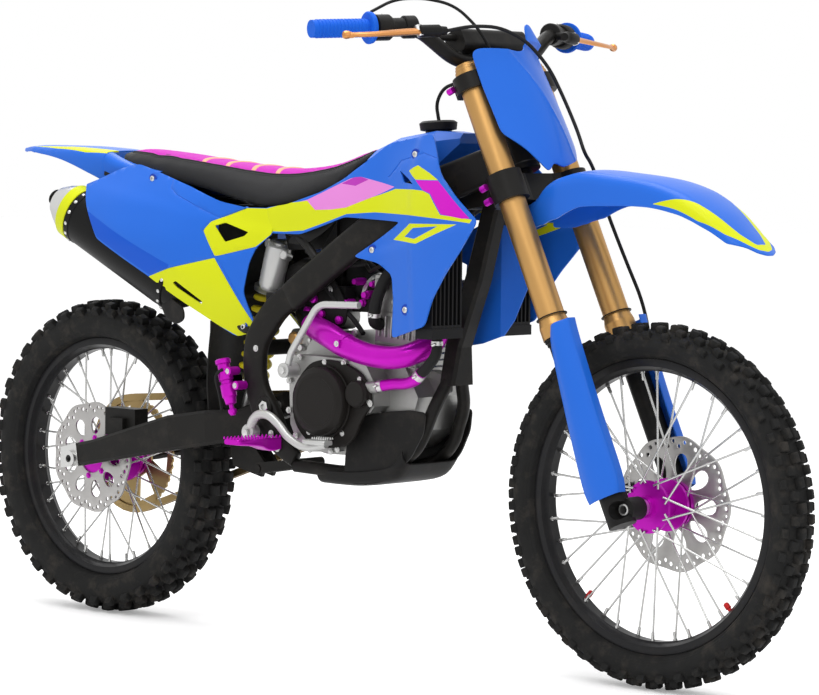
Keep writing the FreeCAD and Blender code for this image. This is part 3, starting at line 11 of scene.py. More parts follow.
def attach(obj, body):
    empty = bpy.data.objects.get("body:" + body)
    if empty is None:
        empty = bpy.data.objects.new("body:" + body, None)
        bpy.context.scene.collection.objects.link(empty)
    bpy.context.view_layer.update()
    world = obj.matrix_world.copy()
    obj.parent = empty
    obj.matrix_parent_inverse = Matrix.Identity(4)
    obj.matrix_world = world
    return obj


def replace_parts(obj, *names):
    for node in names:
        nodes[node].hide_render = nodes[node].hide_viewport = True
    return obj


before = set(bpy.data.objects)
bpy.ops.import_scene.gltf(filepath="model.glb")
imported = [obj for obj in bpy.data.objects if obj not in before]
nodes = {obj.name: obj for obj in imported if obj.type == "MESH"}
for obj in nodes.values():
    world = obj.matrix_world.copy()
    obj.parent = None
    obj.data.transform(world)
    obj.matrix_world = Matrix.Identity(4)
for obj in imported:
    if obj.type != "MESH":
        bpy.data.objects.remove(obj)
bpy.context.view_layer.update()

# Places are given in millimetres on the bike: x ahead of the rear axle, y to the left, z up from the ground.
riderX, riderZ = 570, 970
rake = math.radians(25)
frontAxle = (1486, 345)
rearAxle = (0, 338)
stemReach = 40
stemX = frontAxle[0] - stemReach * math.cos(rake)
stemZ = frontAxle[1] - stemReach * math.sin(rake)
forwards, leftwards, upwards = Vector((1, 0, 0)), Vector((0, 1, 0)), Vector((0, 0, 1))
rightwards = -leftwards
sides = ((-1, "Right"), (1, "Left"))


def bike(x, y, z):
    return Vector(((x - riderX) / 1000, y / 1000, (z - riderZ) / 1000))


# The steering's own frame: u ahead of the stem, v to the left, w up along it.
def fork(u, v, w):
    return bike(stemX + u * math.cos(rake) - w * math.sin(rake), v, stemZ + u * math.sin(rake) + w * math.cos(rake))


def wheelPoint(axle, radius, angle, across):
    return bike(axle[0] + radius * math.cos(angle), across, axle[1] + radius * math.sin(angle))


# Materials
texture = {
    "coatRough": 0.08, "patchDetail": 5, "grainDetail": 3, "reliefDepth": 0.001,
    "dust": {"Scale": 22, "Detail": 8, "Roughness": 0.7}, "dustFrom": 0.5, "dustFull": 0.72,
    "dustColour": (0.23, 0.19, 0.15, 1), "scratchScale": (30, 30, 900)}


def setInputs(node, values):
    for socket, value in values.items():
        node.inputs[socket].default_value = value
    return node


def material(name, colour, rough=0.5, metal=0.0, coat=0.0, grain=400.0, bump=0.0, vary=0.05, patch=6.0, dust=0.0,
             sheen=0.0, scratch=0.0, shine=0.12):
    made = bpy.data.materials.new(name)
    made.use_nodes = True
    tree = made.node_tree
    new, link = tree.nodes.new, tree.links.new
    place = new("ShaderNodeTexCoord")

    def noise(values, source=place.outputs["Object"]):
        node = setInputs(new("ShaderNodeTexNoise"), values)
        link(source, node.inputs["Vector"])
        return node.outputs["Fac"]

    def mixed(share, first, second):
        node = new("ShaderNodeMix")
        node.data_type = "RGBA"
        link(share, node.inputs[0])
        for socket, value in ((6, first), (7, second)):
            if isinstance(value, tuple):
                node.inputs[socket].default_value = value
            else:
                link(value, node.inputs[socket])
        return node.outputs[2]

    shader = setInputs(tree.nodes["Principled BSDF"], {
        "Metallic": metal, "Coat Weight": coat, "Coat Roughness": texture["coatRough"], "Sheen Weight": sheen,
        "Specular IOR Level": shine})
    broad = noise({"Scale": patch, "Detail": texture["patchDetail"]})
    dark = [c * (1 - vary) for c in colour]
    light = [min(1, c * (1 + vary) + 0.02 * vary) for c in colour]
    tone = mixed(broad, (*dark, 1), (*light, 1))
    if dust:
        span = setInputs(new("ShaderNodeMapRange"), {
            "From Min": texture["dustFrom"], "From Max": texture["dustFull"], "To Max": dust})
        link(noise(texture["dust"]), span.inputs["Value"])
        tone = mixed(span.outputs[0], tone, texture["dustColour"])
    link(tone, shader.inputs["Base Color"])
    gloss = setInputs(new("ShaderNodeMapRange"), {"To Min": max(0.03, rough * 0.8), "To Max": min(1, rough * 1.25)})
    link(broad, gloss.inputs["Value"])
    roughness = gloss.outputs[0]
    if scratch:
        stretched = setInputs(new("ShaderNodeMapping"), {"Scale": texture["scratchScale"]})
        link(place.outputs["Object"], stretched.inputs["Vector"])
        added = setInputs(new("ShaderNodeMath"), {1: scratch})
        added.operation = "MULTIPLY_ADD"
        link(noise({"Scale": 1}, stretched.outputs[0]), added.inputs[0])
        link(roughness, added.inputs[2])
        roughness = added.outputs[0]
    link(roughness, shader.inputs["Roughness"])
    if bump:
        relief = setInputs(new("ShaderNodeBump"), {"Strength": bump, "Distance": texture["reliefDepth"]})
        link(noise({"Scale": grain, "Detail": texture["grainDetail"]}), relief.inputs["Height"])
        link(relief.outputs[0], shader.inputs["Normal"])
    return made


blue = material("panelBlue", (0.013, 0.125, 0.6), 0.3, coat=0.03, bump=0.03, scratch=0.05, shine=0.2)
deepBlue = material("panelBlueDeep", (0.004, 0.05, 0.42), 0.42, coat=0.2, bump=0.03)
# A darker copy of the panel blue: painted shade on the side panels' lower facet, which faces downwards.
paintedShadeBlue = material("panelBluePaintedShade", (0.002, 0.08, 0.53), 0.34, coat=0.03, bump=0.03, shine=0.15)
lime = material("stripeLime", (0.6, 0.65, 0.008), 0.36, coat=0.03, bump=0.03)
magenta = material("stripeMagenta", (0.57, 0.004, 0.49), 0.38, coat=0.03, bump=0.03)
violetDeep = material("stripeViolet", (0.42, 0.03, 0.4), 0.4, coat=0.2, bump=0.04)
pink = material("stripePink", (0.68, 0.22, 0.6), 0.42, coat=0.03, bump=0.04)
violet = material("anodisedViolet", (0.5, 0.006, 0.46), 0.3, metal=0.55, coat=0.06, bump=0.05, vary=0.1, patch=14)
gold = material("anodisedGold", (0.5, 0.285, 0.1), 0.33, metal=0.9, bump=0.04, vary=0.08, patch=10, scratch=0.12)
paint = material("satinBlack", (0.0105, 0.0098, 0.009), 0.38, bump=0.12, grain=260, vary=0.15, dust=0.05)
blackPlastic = material("mouldedBlack", (0.0085, 0.0082, 0.008), 0.45, bump=0.18, grain=340, vary=0.15, dust=0.05)
rubber = material("tyreRubber", (0.011, 0.011, 0.0108), 0.7, bump=0.5, grain=300, vary=0.3, patch=30, dust=0.12)
softRubber = material("hoseRubber", (0.013, 0.013, 0.013), 0.55, bump=0.2, grain=500)
cast = material("castAluminium", (0.36, 0.36, 0.35), 0.42, metal=0.9, bump=0.35, grain=210, vary=0.2, patch=18,
                dust=0.1)
bright = material("machinedAluminium", (0.62, 0.62, 0.61), 0.28, metal=0.95, bump=0.06, vary=0.08, scratch=0.12)
silver = material("silverPaint", (0.52, 0.52, 0.51), 0.32, metal=0.5, bump=0.05, vary=0.08)
steel = material("discSteel", (0.42, 0.41, 0.4), 0.3, metal=0.95, bump=0.06, vary=0.12, patch=24, scratch=0.2)
spokeSteel = material("spokeSteel", (0.55, 0.55, 0.54), 0.25, metal=0.95)
rimBlack = material("rimBlack", (0.013, 0.013, 0.014), 0.3, coat=0.05, bump=0.04, dust=0.04)
clutchBlack = material("coverBlack", (0.012, 0.0105, 0.0095), 0.38, bump=0.22, grain=300)
yellow = material("springYellow", (0.68, 0.56, 0.02), 0.32, coat=0.1)
orange = material("leverOrange", (0.62, 0.27, 0.09), 0.3, metal=0.9)
gripBlue = material("gripBlue", (0.008, 0.11, 0.62), 0.55, bump=0.3, grain=700)
cover = material("seatBlack", (0.03, 0.03, 0.031), 0.62, bump=0.7, grain=900, vary=0.1, sheen=0.08)
coverViolet = material("seatViolet", (0.5, 0.012, 0.4), 0.6, bump=0.7, grain=900, vary=0.1, sheen=0.05)
rib = material("seatRib", (0.85, 0.42, 0.26), 0.6, bump=0.5, grain=900, vary=0.06)
chainGold = material("chainBrass", (0.38, 0.27, 0.12), 0.35, metal=0.9, bump=0.1)
louvre = material("louvreBlack", (0.01, 0.01, 0.011), 0.38, bump=0.08)
canBlack = material("mufflerBlack", (0.0055, 0.0055, 0.0055), 0.4, bump=0.25, grain=420)
# Near black for the silencer outlet: painted shade for the inside of the pipe, which is closed by a flat end.
outletShadeBlack = material("outletPaintedShade", (0.004, 0.004, 0.004), 0.8)
red = material("capRed", (0.45, 0.02, 0.02), 0.35, metal=0.5)

dressing = {
    rubber: ["front_tyre", "rear_tyre"], rimBlack: ["front_rim", "rear_rim"],
    spokeSteel: ["front_spokes", "rear_spokes"],
    violet: ["front_hub", "rear_hub", "exhaust_header", "coolant_hoses", "footpegs", "rear_master_cylinder"],
    steel: ["front_disc", "rear_disc"], chainGold: ["rear_sprocket", "chain"], gold: ["fork_tubes"],
    paint: ["triple_clamps", "handlebar", "main_frame", "lower_cradle", "subframe", "swingarm", "front_caliper",
            "rear_caliper", "shock_linkage"],
    gripBlue: ["grips"], orange: ["control_levers"], softRubber: ["control_cables", "vent_hose"], cast: ["engine"],
    blue: ["number_plate", "front_fender", "fork_guards", "shrouds", "side_panels", "rear_fender", "fuel_tank",
           "air_guide"],
    silver: ["shock_absorber", "kick_starter", "brake_pedal", "gear_lever"], clutchBlack: ["clutch_cover"],
    yellow: ["shock_spring"], canBlack: ["muffler"],
    bright: ["front_axle", "rear_axle", "pivot_bolt", "muffler_cap", "axle_blocks"],
    blackPlastic: ["airbox", "mud_flap", "fuel_cap", "skid_plate", "fork_sliders"], louvre: ["radiators"],
    cover: ["seat"]}
for finish, names in dressing.items():
    for name in names:
        mesh = nodes[name].data
        mesh.materials.clear()
        mesh.materials.append(finish)
print("materials:", len(bpy.data.materials))


# Mesh helpers
def newPiece(name, points, faces, finishes, body, picks=None):
    mesh = bpy.data.meshes.new(name)
    mesh.from_pydata([tuple(p) for p in points], [], faces)
    for finish in finishes:
        mesh.materials.append(finish)
    if picks:
        mesh.polygons.foreach_set("material_index", picks)
    piece = bpy.data.objects.new(name, mesh)
    bpy.context.scene.collection.objects.link(piece)
    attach(piece, body)
    return piece


def smoothed(mesh, angle):  # shades smooth, with edges past the angle kept sharp
    mesh.shade_smooth()
    work = bmesh.new()
    work.from_mesh(mesh)
    bmesh.ops.recalc_face_normals(work, faces=work.faces)
    limit = math.radians(angle)
    for edge in work.edges:
        edge.smooth = len(edge.link_faces) != 2 or edge.calc_face_angle(0) < limit
    work.to_mesh(mesh)
    work.free()


def bake(piece, angle=40):
    bpy.context.view_layer.update()
    ready = bpy.data.meshes.new_from_object(piece.evaluated_get(bpy.context.evaluated_depsgraph_get()))
    piece.modifiers.clear()
    piece.data = ready
    smoothed(ready, angle)
    return piece


def roundEdges(piece, width, limit):
    edge = piece.modifiers.new("edge", "BEVEL")
    edge.width = width / 1000
    edge.segments = 2
    edge.limit_method = "ANGLE"
    edge.angle_limit = math.radians(limit)


def thicken(piece, thickness, rim=0.6, angle=40):
    made = piece.modifiers.new("thick", "SOLIDIFY")
    made.thickness = thickness / 1000
    made.offset = -1
    roundEdges(piece, rim, 60)
    return bake(piece, angle)


def facing(piece, direction):  # turns a sheet over where its faces look away from the direction
    total = sum((face.normal * face.area for face in piece.data.polygons), Vector())
    if total.dot(direction) < 0:
        piece.data.flip_normals()


# An outline with its corners rounded; a third value in a corner is its own radius.
def softCorners(outline, radius, steps=4):
    rounded = []
    count = len(outline)
    for i, corner in enumerate(outline):
        here = Vector(corner[:2])
        own = corner[2] if len(corner) > 2 else radius
        before, after = Vector(outline[i - 1][:2]) - here, Vector(outline[(i + 1) % count][:2]) - here
        a = here + before.normalized() * min(own, before.length * 0.45)
        b = here + after.normalized() * min(own, after.length * 0.45)
        for k in range(steps + 1):
            t = k / steps
            rounded.append(a * (1 - t) ** 2 + here * 2 * t * (1 - t) + b * t * t)
    return rounded


def inside(p, outline):
    hit = False
    for i, a in enumerate(outline):
        b = outline[i - 1]
        if (a[1] > p[1]) != (b[1] > p[1]) and p[0] < (b[0] - a[0]) * (p[1] - a[1]) / (b[1] - a[1]) + a[0]:
            hit = not hit
    return hit


def middleOf(points):
    return sum(points, Vector((0, 0))) / len(points)


def divided(line, pitch, closed=True):
    out = []
    for i in range(len(line) if closed else len(line) - 1):
        p, q = Vector(line[i]), Vector(line[(i + 1) % len(line)])
        n = max(1, int((q - p).length / pitch))
        out += [p.lerp(q, k / n) for k in range(n)]
    return out if closed else out + [Vector(line[-1])]


# Triangles that fill the first outline around its holes, with the edges of marks and lines kept in the mesh.
def filled(outlines, pitch, marks=(), lines=()):
    verts, edges = [], []
    for outline, closed in [(o, True) for o in list(outlines) + list(marks)] + [(line, False) for line in lines]:
        first = len(verts)
        run = divided(outline, pitch, closed)
        verts += run
        edges += [(first + i, first + (i + 1) % len(run)) for i in range(len(run) if closed else len(run) - 1)]
    outer, holes = outlines[0], outlines[1:]

    def held(p):
        return inside(p, outer) and not any(inside(p, hole) for hole in holes)

    low = [min(p[k] for p in outer) for k in (0, 1)]
    high = [max(p[k] for p in outer) for k in (0, 1)]
    rim = KDTree(len(verts))
    for i, p in enumerate(verts):
        rim.insert((p[0], p[1], 0), i)
    rim.balance()
    for i in range(int(low[0] // pitch), int(high[0] // pitch) + 2):
        for j in range(int(low[1] // pitch), int(high[1] // pitch) + 2):
            p = Vector(((i + 0.5 * (j % 2)) * pitch, j * pitch))
            if held(p) and rim.find((p[0], p[1], 0))[2] > 0.45 * pitch:
                verts.append(p)
    points, _, faces, *_ = delaunay_2d_cdt(verts, edges, [], 0, 1e-5)
    return points, [list(face) for face in faces if held(middleOf([points[i] for i in face]))]


# A sheet cut to an outline in its own plane and bent by place(a, b), with areas of other colours set into it.
def skin(name, outline, place, finish, body, thickness=3.0, holes=(), corner=8, pitch=12, decals=(), grooves=(),
         out=None):
    outlines = [softCorners(outline, corner)] + [softCorners(hole, 3) for hole in holes]
    marks = [softCorners(shape, radius) for _, shape, radius in decals]
    lines = []
    for groove in grooves:
        band = strip(groove, 4.4)
        lines += [groove, band[:len(groove)], band[len(groove):]]
    points, faces = filled(outlines, pitch, marks, lines)
    picks = []
    for face in faces:
        middle = middleOf([points[i] for i in face])
        over = [k + 1 for k, mark in enumerate(marks) if inside(middle, mark)]
        picks.append(over[-1] if over else 0)
    finishes = [finish] + [paintOn for paintOn, _, _ in decals]
    piece = newPiece(name, [place(p[0], p[1]) for p in points], faces, finishes, body, picks)
    smoothed(piece.data, 60)
    if thickness:
        facing(piece, out or outward(place(*middleOf([Vector(p[:2]) for p in outline])), body))
        thicken(piece, thickness, angle=38)
    return piece


def strip(line, width):
    left, right = [], []
    for i, p in enumerate(line):
        a, b = Vector(line[max(i - 1, 0)]), Vector(line[min(i + 1, len(line) - 1)])
        normal = (b - a).normalized().orthogonal() * width / 2
        left.append(tuple(Vector(p) + normal))
        right.append(tuple(Vector(p) - normal))
    return left + right[::-1]


def outward(point, body):
    return forwards if body == "steering" else leftwards * (1 if point.y > 0 else -1)


# A smooth curve through (xs, ys) that never swings past its points; straight beyond both ends.
def spline(xs, ys, x):
    slope = [(ys[k + 1] - ys[k]) / (xs[k + 1] - xs[k]) for k in range(len(xs) - 1)]
    if x <= xs[0]:
        return ys[0] + slope[0] * (x - xs[0])
    if x >= xs[-1]:
        return ys[-1] + slope[-1] * (x - xs[-1])
    i = max(k for k in range(len(xs) - 1) if xs[k] <= x)

    def tangent(k):
        if k == 0 or k == len(xs) - 1:
            return slope[min(k, len(slope) - 1)]
        a, b = slope[k - 1], slope[k]
        return 0 if a * b <= 0 else 2 * a * b / (a + b)
    h = xs[i + 1] - xs[i]
    t = (x - xs[i]) / h
    return ((2 * t ** 3 - 3 * t ** 2 + 1) * ys[i] + (t ** 3 - 2 * t ** 2 + t) * h * tangent(i)
            + (3 * t ** 2 - 2 * t ** 3) * ys[i + 1] + (t ** 3 - t ** 2) * h * tangent(i + 1))


def tableAt(rows, column, x):
    return spline([row[0] for row in rows], [row[column] for row in rows], x)


def awayFrom(x, z, line):
    best = 1e9
    for (ax, az), (bx, bz) in zip(line, line[1:]):
        ux, uz = bx - ax, bz - az
        t = min(1, max(0, ((x - ax) * ux + (z - az) * uz) / (ux * ux + uz * uz)))
        best = min(best, math.hypot(x - ax - t * ux, z - az - t * uz))
    return best


# The distance from the middle plane at (x, z): tables at several heights, steps, bends past a line, fine grooves.
def bowed(levels, folds=(), hinges=(), grooves=()):
    def past(x, z, a, b):  # how far a point lies to one side of the line through a and b
        along = Vector((b[0] - a[0], b[1] - a[1])).normalized()
        return (x - a[0]) * along[1] - (z - a[1]) * along[0]

    def surface(x, z):
        y = spline([height for height, _ in levels], [tableAt(rows, 1, x) for _, rows in levels], z)
        for a, b, width, depth in folds:
            t = min(1, max(0, past(x, z, a, b) / width + 0.5))
            y -= depth * t * t * (3 - 2 * t)
        for a, b, slope in hinges:
            side = past(x, z, a, b)
            y -= slope * (side + math.hypot(side, 5)) / 2
        for line in grooves:
            y -= 1.6 * max(0, 1 - awayFrom(x, z, line) / 2.2)
        return y
    return surface


def onSide(surface, side):
    return lambda x, z: bike(x, side * surface(x, z), z)


# Rows of a grid with smooth rows set in between them.
def refine(rows, times):
    out = []
    for i in range(len(rows) - 1):
        four = [rows[min(max(i + k, 0), len(rows) - 1)] for k in (-1, 0, 1, 2)]
        for k in range(times):
            t = k / times
            out.append([0.5 * (2 * b + (c - a) * t + (2 * a - 5 * b + 4 * c - d) * t * t
                               + (3 * b - a - 3 * c + d) * t ** 3) for a, b, c, d in zip(*four)])
    return out + [list(rows[-1])]


def route(places, times=6):
    return [Vector(p) for p in refine([bike(*place) for place in places], times)]


def gridFaces(rows, cols, closedRows=False, closedCols=False):
    faces = []
    for i in range(rows if closedRows else rows - 1):
        for j in range(cols if closedCols else cols - 1):
            a, b = i * cols + j, i * cols + (j + 1) % cols
            c, d = ((i + 1) % rows) * cols + (j + 1) % cols, ((i + 1) % rows) * cols + j
            faces.append((a, b, c, d))
    return faces


def sheetLoft(name, sections, finish, body, thickness=3.0, flip=False):
    rows = refine(sections, 4)
    rows = [list(c) for c in zip(*refine([list(c) for c in zip(*rows)], 4))]
    faces = gridFaces(len(rows), len(rows[0]))
    if flip:
        faces = [tuple(reversed(f)) for f in faces]
    piece = newPiece(name, [p for row in rows for p in row], faces, [finish], body)
    return thicken(piece, thickness, angle=50)


# A turned form about a wheel's axle: the profile is (radius, place across the bike).
def ring(name, axle, profile, finish, body, angle=30, count=180):
    points = [wheelPoint(axle, r, 2 * math.pi * k / count, y) for k in range(count) for r, y in profile]
    piece = newPiece(name, points, gridFaces(count, len(profile), True, True), [finish], body)
    smoothed(piece.data, angle)
    return piece


def circle(x, y, radius, count=14, first=0.0):
    angles = [first + 2 * math.pi * k / count for k in range(count)]
    return [(x + radius * math.cos(a), y + radius * math.sin(a)) for a in angles]


# A rectangle with round corners, as points; sizes in millimetres.
def boxRing(centre, right, up, wide, tall, corner, steps=3):
    out = []
    for sx, sy, start in ((1, 1, 0), (-1, 1, 90), (-1, -1, 180), (1, -1, 270)):
        for k in range(steps + 1):
            a = math.radians(start + 90 * k / steps)
            across, rise = (s * (size / 2 - corner) + corner * turn for s, size, turn in (
                (sx, wide, math.cos(a)), (sy, tall, math.sin(a))))
            out.append(centre + right * across / 1000 + up * rise / 1000)
    return out


# An outline in side view at several places across the bike, each with its own scale about the middle.
def plateRings(outline, middle, layers, corner=16):
    middle = Vector(middle)
    rings = []
    for y, scale in layers:
        places = [middle + (p - middle) * scale for p in softCorners(outline, corner, 3)]
        rings.append([bike(p[0], y, p[1]) for p in places])
    return rings


# Many small forms gathered into one mesh. Profiles are (distance along the axis, radius) in millimetres.
class Parts:
    def __init__(self):
        self.points, self.faces, self.picks = [], [], []

    def add(self, points, faces, pick=0):
        first = len(self.points)
        self.points += points
        self.faces += [tuple(first + i for i in face) for face in faces]
        self.picks += [pick] * len(faces)

    def hull(self, rows, pick=0):  # a closed form through like rings of points, capped at both ends
        count = len(rows[0])
        faces = gridFaces(len(rows), count, closedCols=True)
        faces.append(tuple(reversed(range(count))))
        faces.append(tuple(range(len(rows) * count - count, len(rows) * count)))
        self.add([Vector(p) for row in rows for p in row], faces, pick)

    def turned(self, start, axis, profile, count=16, pick=0):
        axis = Vector(axis).normalized()
        across = axis.orthogonal().normalized()
        up = axis.cross(across)
        rows = []
        for along, radius in profile:
            centre = Vector(start) + axis * along / 1000
            rows.append([centre + (across * x + up * y) / 1000 for x, y in circle(0, 0, radius, count)])
        self.hull(rows, pick)

    def bolt(self, place, axis, radius=5.0, head=4.0, pick=0, washer=True):
        if washer:
            self.turned(place, axis, [(-1, radius * 1.5), (0.8, radius * 1.5), (1.2, radius * 1.35)], 18, pick)
        self.turned(place, axis, [(0, radius), (head * 0.8, radius), (head, radius * 0.82)], 6, pick)

    def block(self, place, size, pick=0):
        a, b, c = (s / 2000 for s in size)
        self.hull([[place + Vector((x * a, y * b, z)) for x, y in ((-1, -1), (1, -1), (1, 1), (-1, 1))]
                   for z in (-c, c)], pick)

    def tube(self, line, radius, count=12, pick=0):  # the radius is one value, or one for each point
        rings = []
        side = None
        for i, p in enumerate(line):
            ahead = (line[min(i + 1, len(line) - 1)] - line[max(i - 1, 0)]).normalized()
            side = ahead.orthogonal().normalized() if side is None else (side - ahead * side.dot(ahead)).normalized()
            up = ahead.cross(side)
            r = (radius[i] if isinstance(radius, list) else radius) / 1000
            rings.append([p + side * x + up * y for x, y in circle(0, 0, r, count)])
        self.hull(rings, pick)

    def finish(self, name, finishes, body, bevel=0.0, angle=35):
        piece = newPiece(name, self.points, self.faces, finishes, body, self.picks)
        smoothed(piece.data, angle)
        if bevel:
            roundEdges(piece, bevel, 35)
            bake(piece, angle)
        return piece


# A fender's surface and its reach around the edge: table rows are (x, height, half width, drop of the sides).
def hood(table, crown, edge):
    def at(x, b):
        top, wide, drop = (tableAt(table, k, x) for k in (1, 2, 3))
        bend = min(edge, 0.8 * drop)
        flat = wide - bend
        a = abs(b)
        if a <= flat:
            y, fall = a, crown * (a / flat) ** 2
        elif a <= flat + bend * math.pi / 2:
            turn = (a - flat) / bend
            y, fall = flat + bend * math.sin(turn), crown + bend * (1 - math.cos(turn))
        else:
            y, fall = wide, crown + bend + a - flat - bend * math.pi / 2
        return bike(x, math.copysign(y, b), top - fall)

    def reach(x):
        wide, drop = (tableAt(table, k, x) for k in (2, 3))
        bend = min(edge, 0.8 * drop)
        return wide - bend + bend * math.pi / 2 + max(0, drop - crown - bend)
    return at, reach


# Bodywork
shroud = {
    "outline": [(552, 834, 1), (549, 886, 1), (606, 894), (700, 920), (770, 948), (836, 988), (880, 1018),
                (1006, 1038), (1040, 1001), (1072, 960), (1127, 916), (1190, 872), (1148, 818), (1103, 768),
                (1067, 719), (1046, 668), (936, 639), (939, 713), (932, 762), (884, 784), (812, 795), (884, 833),
                (950, 866), (781, 872), (646, 834)],
    "holes": [[(932, 966), (955, 956), (990, 940), (953, 943)]],
    "low": [(545, 100), (560, 100), (700, 107), (800, 120), (870, 124), (1000, 157), (1100, 172), (1210, 184)],
    "middle": [(545, 97), (560, 97), (700, 105), (800, 118), (870, 121), (1000, 153), (1100, 172), (1210, 184)],
    "high": [(545, 86), (560, 86), (700, 88), (800, 86), (870, 88), (1000, 100), (1100, 112), (1210, 120)],
    "folds": [((1186, 874), (812, 794), 16, 5), ((1010, 640), (985, 870), 24, -4)],
    "decals": [
        (pink, [(608, 893), (664, 904), (730, 928), (791, 949), (818, 952), (921, 934), (898, 926), (854, 912),
                (786, 891), (740, 886), (690, 884), (650, 882)], 2),
        (lime, [(550, 838), (548, 884), (606, 896), (664, 902), (690, 884), (740, 886), (786, 891), (854, 912),
                (926, 930), (993, 930), (1024, 928), (1046, 922), (1084, 883), (1174, 876), (1170, 869), (1084, 875),
                (991, 880), (867, 883), (788, 878), (656, 842), (600, 838)], 1),
        (lime, [(964, 966), (995, 977), (1038, 962), (1067, 949), (996, 949)], 2),
        (magenta, [(996, 948), (1067, 948), (1090, 933), (1143, 895), (1167, 878), (1146, 877), (1086, 884),
                   (1048, 923), (1024, 929)], 1),
        (violetDeep, [(764, 938), (800, 951), (818, 952), (840, 947), (806, 934)], 1),
        (lime, [(929, 831), (986, 864), (1132, 866), (1016, 826)], 2),
        (blue, [(968, 838), (1001, 856), (1076, 861), (1008, 835)], 1)],
    "grooves": [[(1046, 990), (1000, 1000), (930, 985), (900, 955)]],
    "bolts": [(976, 998), (864, 809), (984, 697)]}
shroud["levels"] = [(600, shroud["low"]), (880, shroud["middle"]), (960, [(x, y - 12) for x, y in shroud["middle"]]),
                    (1045, shroud["high"])]
panel = {
    "outline": [(52, 926, 2), (78, 937, 4), (103, 949), (124, 959), (150, 966), (176, 970), (212, 962), (280, 945),
                (354, 925), (441, 896), (500, 885, 4), (566, 885, 1), (566, 832, 1), (531, 803, 4), (516, 774),
                (502, 712), (522, 656), (522, 632), (475, 620), (367, 682), (270, 739), (122, 813, 5), (84, 871, 5)],
    "holes": [[(437, 847), (459, 854), (513, 835), (504, 827), (462, 814)],
              [(337, 727), (346, 731), (405, 690), (402, 684), (346, 717)]],
    "low": [(0, 166), (150, 172), (300, 162), (420, 134), (500, 110), (560, 95), (600, 90)],
    "middle": [(0, 150), (150, 152), (300, 142), (420, 124), (500, 103), (560, 90), (600, 86)],
    "high": [(0, 96), (150, 94), (300, 92), (420, 90), (500, 88), (560, 80), (600, 76)],
    "folds": [((126, 921), (381, 874), 26, -4)],
    "hinges": [((95, 872), (347, 758), 0.22)],
    "decals": [
        # Painted shade: the lower facet below the hinge line, in the darker blue.
        (paintedShadeBlue, [(88, 869), (334, 764), (330, 758), (274, 742), (124, 816), (84, 864)], 1),
        (lime, [(272, 738), (332, 757), (438, 781), (471, 727), (519, 650), (519, 630), (483, 619), (420, 650),
                (324, 705)], 2),
        (lime, [(410, 837), (426, 855), (500, 884), (566, 884), (566, 832), (531, 806), (449, 786), (439, 785)], 3)],
    "grooves": [[(292, 950), (298, 922), (319, 909), (443, 863), (501, 884)], [(410, 837), (426, 855), (499, 883)],
                [(410, 837), (439, 783), (530, 805)], [(272, 740), (332, 757), (438, 781), (471, 727), (519, 650)],
                [(449, 774), (484, 716), (510, 668)]],
    "bolts": [(496, 641), (237, 940)]}
panel["levels"] = [(600, [(x, y - 4) for x, y in panel["low"]]), (800, panel["low"]), (880, panel["middle"]),
                   (970, panel["high"])]


panelScrew = {
    "washer": [(0, 11), (1.2, 11), (1.6, 8.5), (0.6, 8)],
    "head": [(0, 6.2), (3.8, 6), (4.8, 4.6), (4.8, 3), (2, 2.8)]}


def dressSide(label, facts, node):
    surface = bowed(facts["levels"], facts["folds"], facts.get("hinges", ()), facts["grooves"])
    for side, word in sides:
        made = skin(label + word, facts["outline"], onSide(surface, side), blue, "chassis", holes=facts["holes"],
                    corner=12, decals=facts["decals"], grooves=facts["grooves"], pitch=8)
        if side < 0:
            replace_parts(made, node)
        screws = Parts()
        for x, z in facts["bolts"]:
            spot = bike(x, side * (surface(x, z) - 0.4), z)
            screws.turned(spot, (0, side, 0), panelScrew["washer"], 24, 1)
            screws.turned(spot, (0, side, 0), panelScrew["head"], 20)
        screws.finish(f"{label}Bolts{word}", [bright, deepBlue], "chassis")


dressSide("shroud", shroud, "shrouds")
dressSide("sidePanel", panel, "side_panels")

plate = {
    "outline": [(-116, 925), (-106, 932), (-20, 914), (6, 922), (14, 962), (22, 972), (34, 970), (48, 948), (104, 892),
                (116, 845), (94, 736), (52, 688), (10, 674), (-10, 670), (-30, 682), (-47, 662), (-80, 718),
                (-111, 757), (-116, 857)],
    "crown": [(640, 98.5, 58.5), (760, 100.5, 56.5), (880, 100.5, 56.5), (980, 104.5, 60.5)],
    "ridge": [(-49, 916), (-16, 862), (17, 790), (34, 730), (40, 672)],
    "half": 120, "lean": 0.16, "leanTop": 930, "ridgeHeight": 1.5}


def plateFace(v, w):
    crown, edge = tableAt(plate["crown"], 1, w), tableAt(plate["crown"], 2, w)
    line = [(height, across) for across, height in reversed(plate["ridge"])]
    past = v - tableAt(line, 1, min(line[-1][0], max(line[0][0], w)))
    lean = plate["lean"] * (past + math.hypot(past, 4)) / 2 if w < plate["leanTop"] else 0
    ridge = plate["ridgeHeight"] * max(0, 1 - abs(past) / 3)
    return fork(crown - (crown - edge) * (v / plate["half"]) ** 2 - lean + ridge, v, w)


made = skin("frontPlate", plate["outline"], plateFace, blue, "steering", corner=12, pitch=8, grooves=[plate["ridge"]])
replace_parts(made, "number_plate")

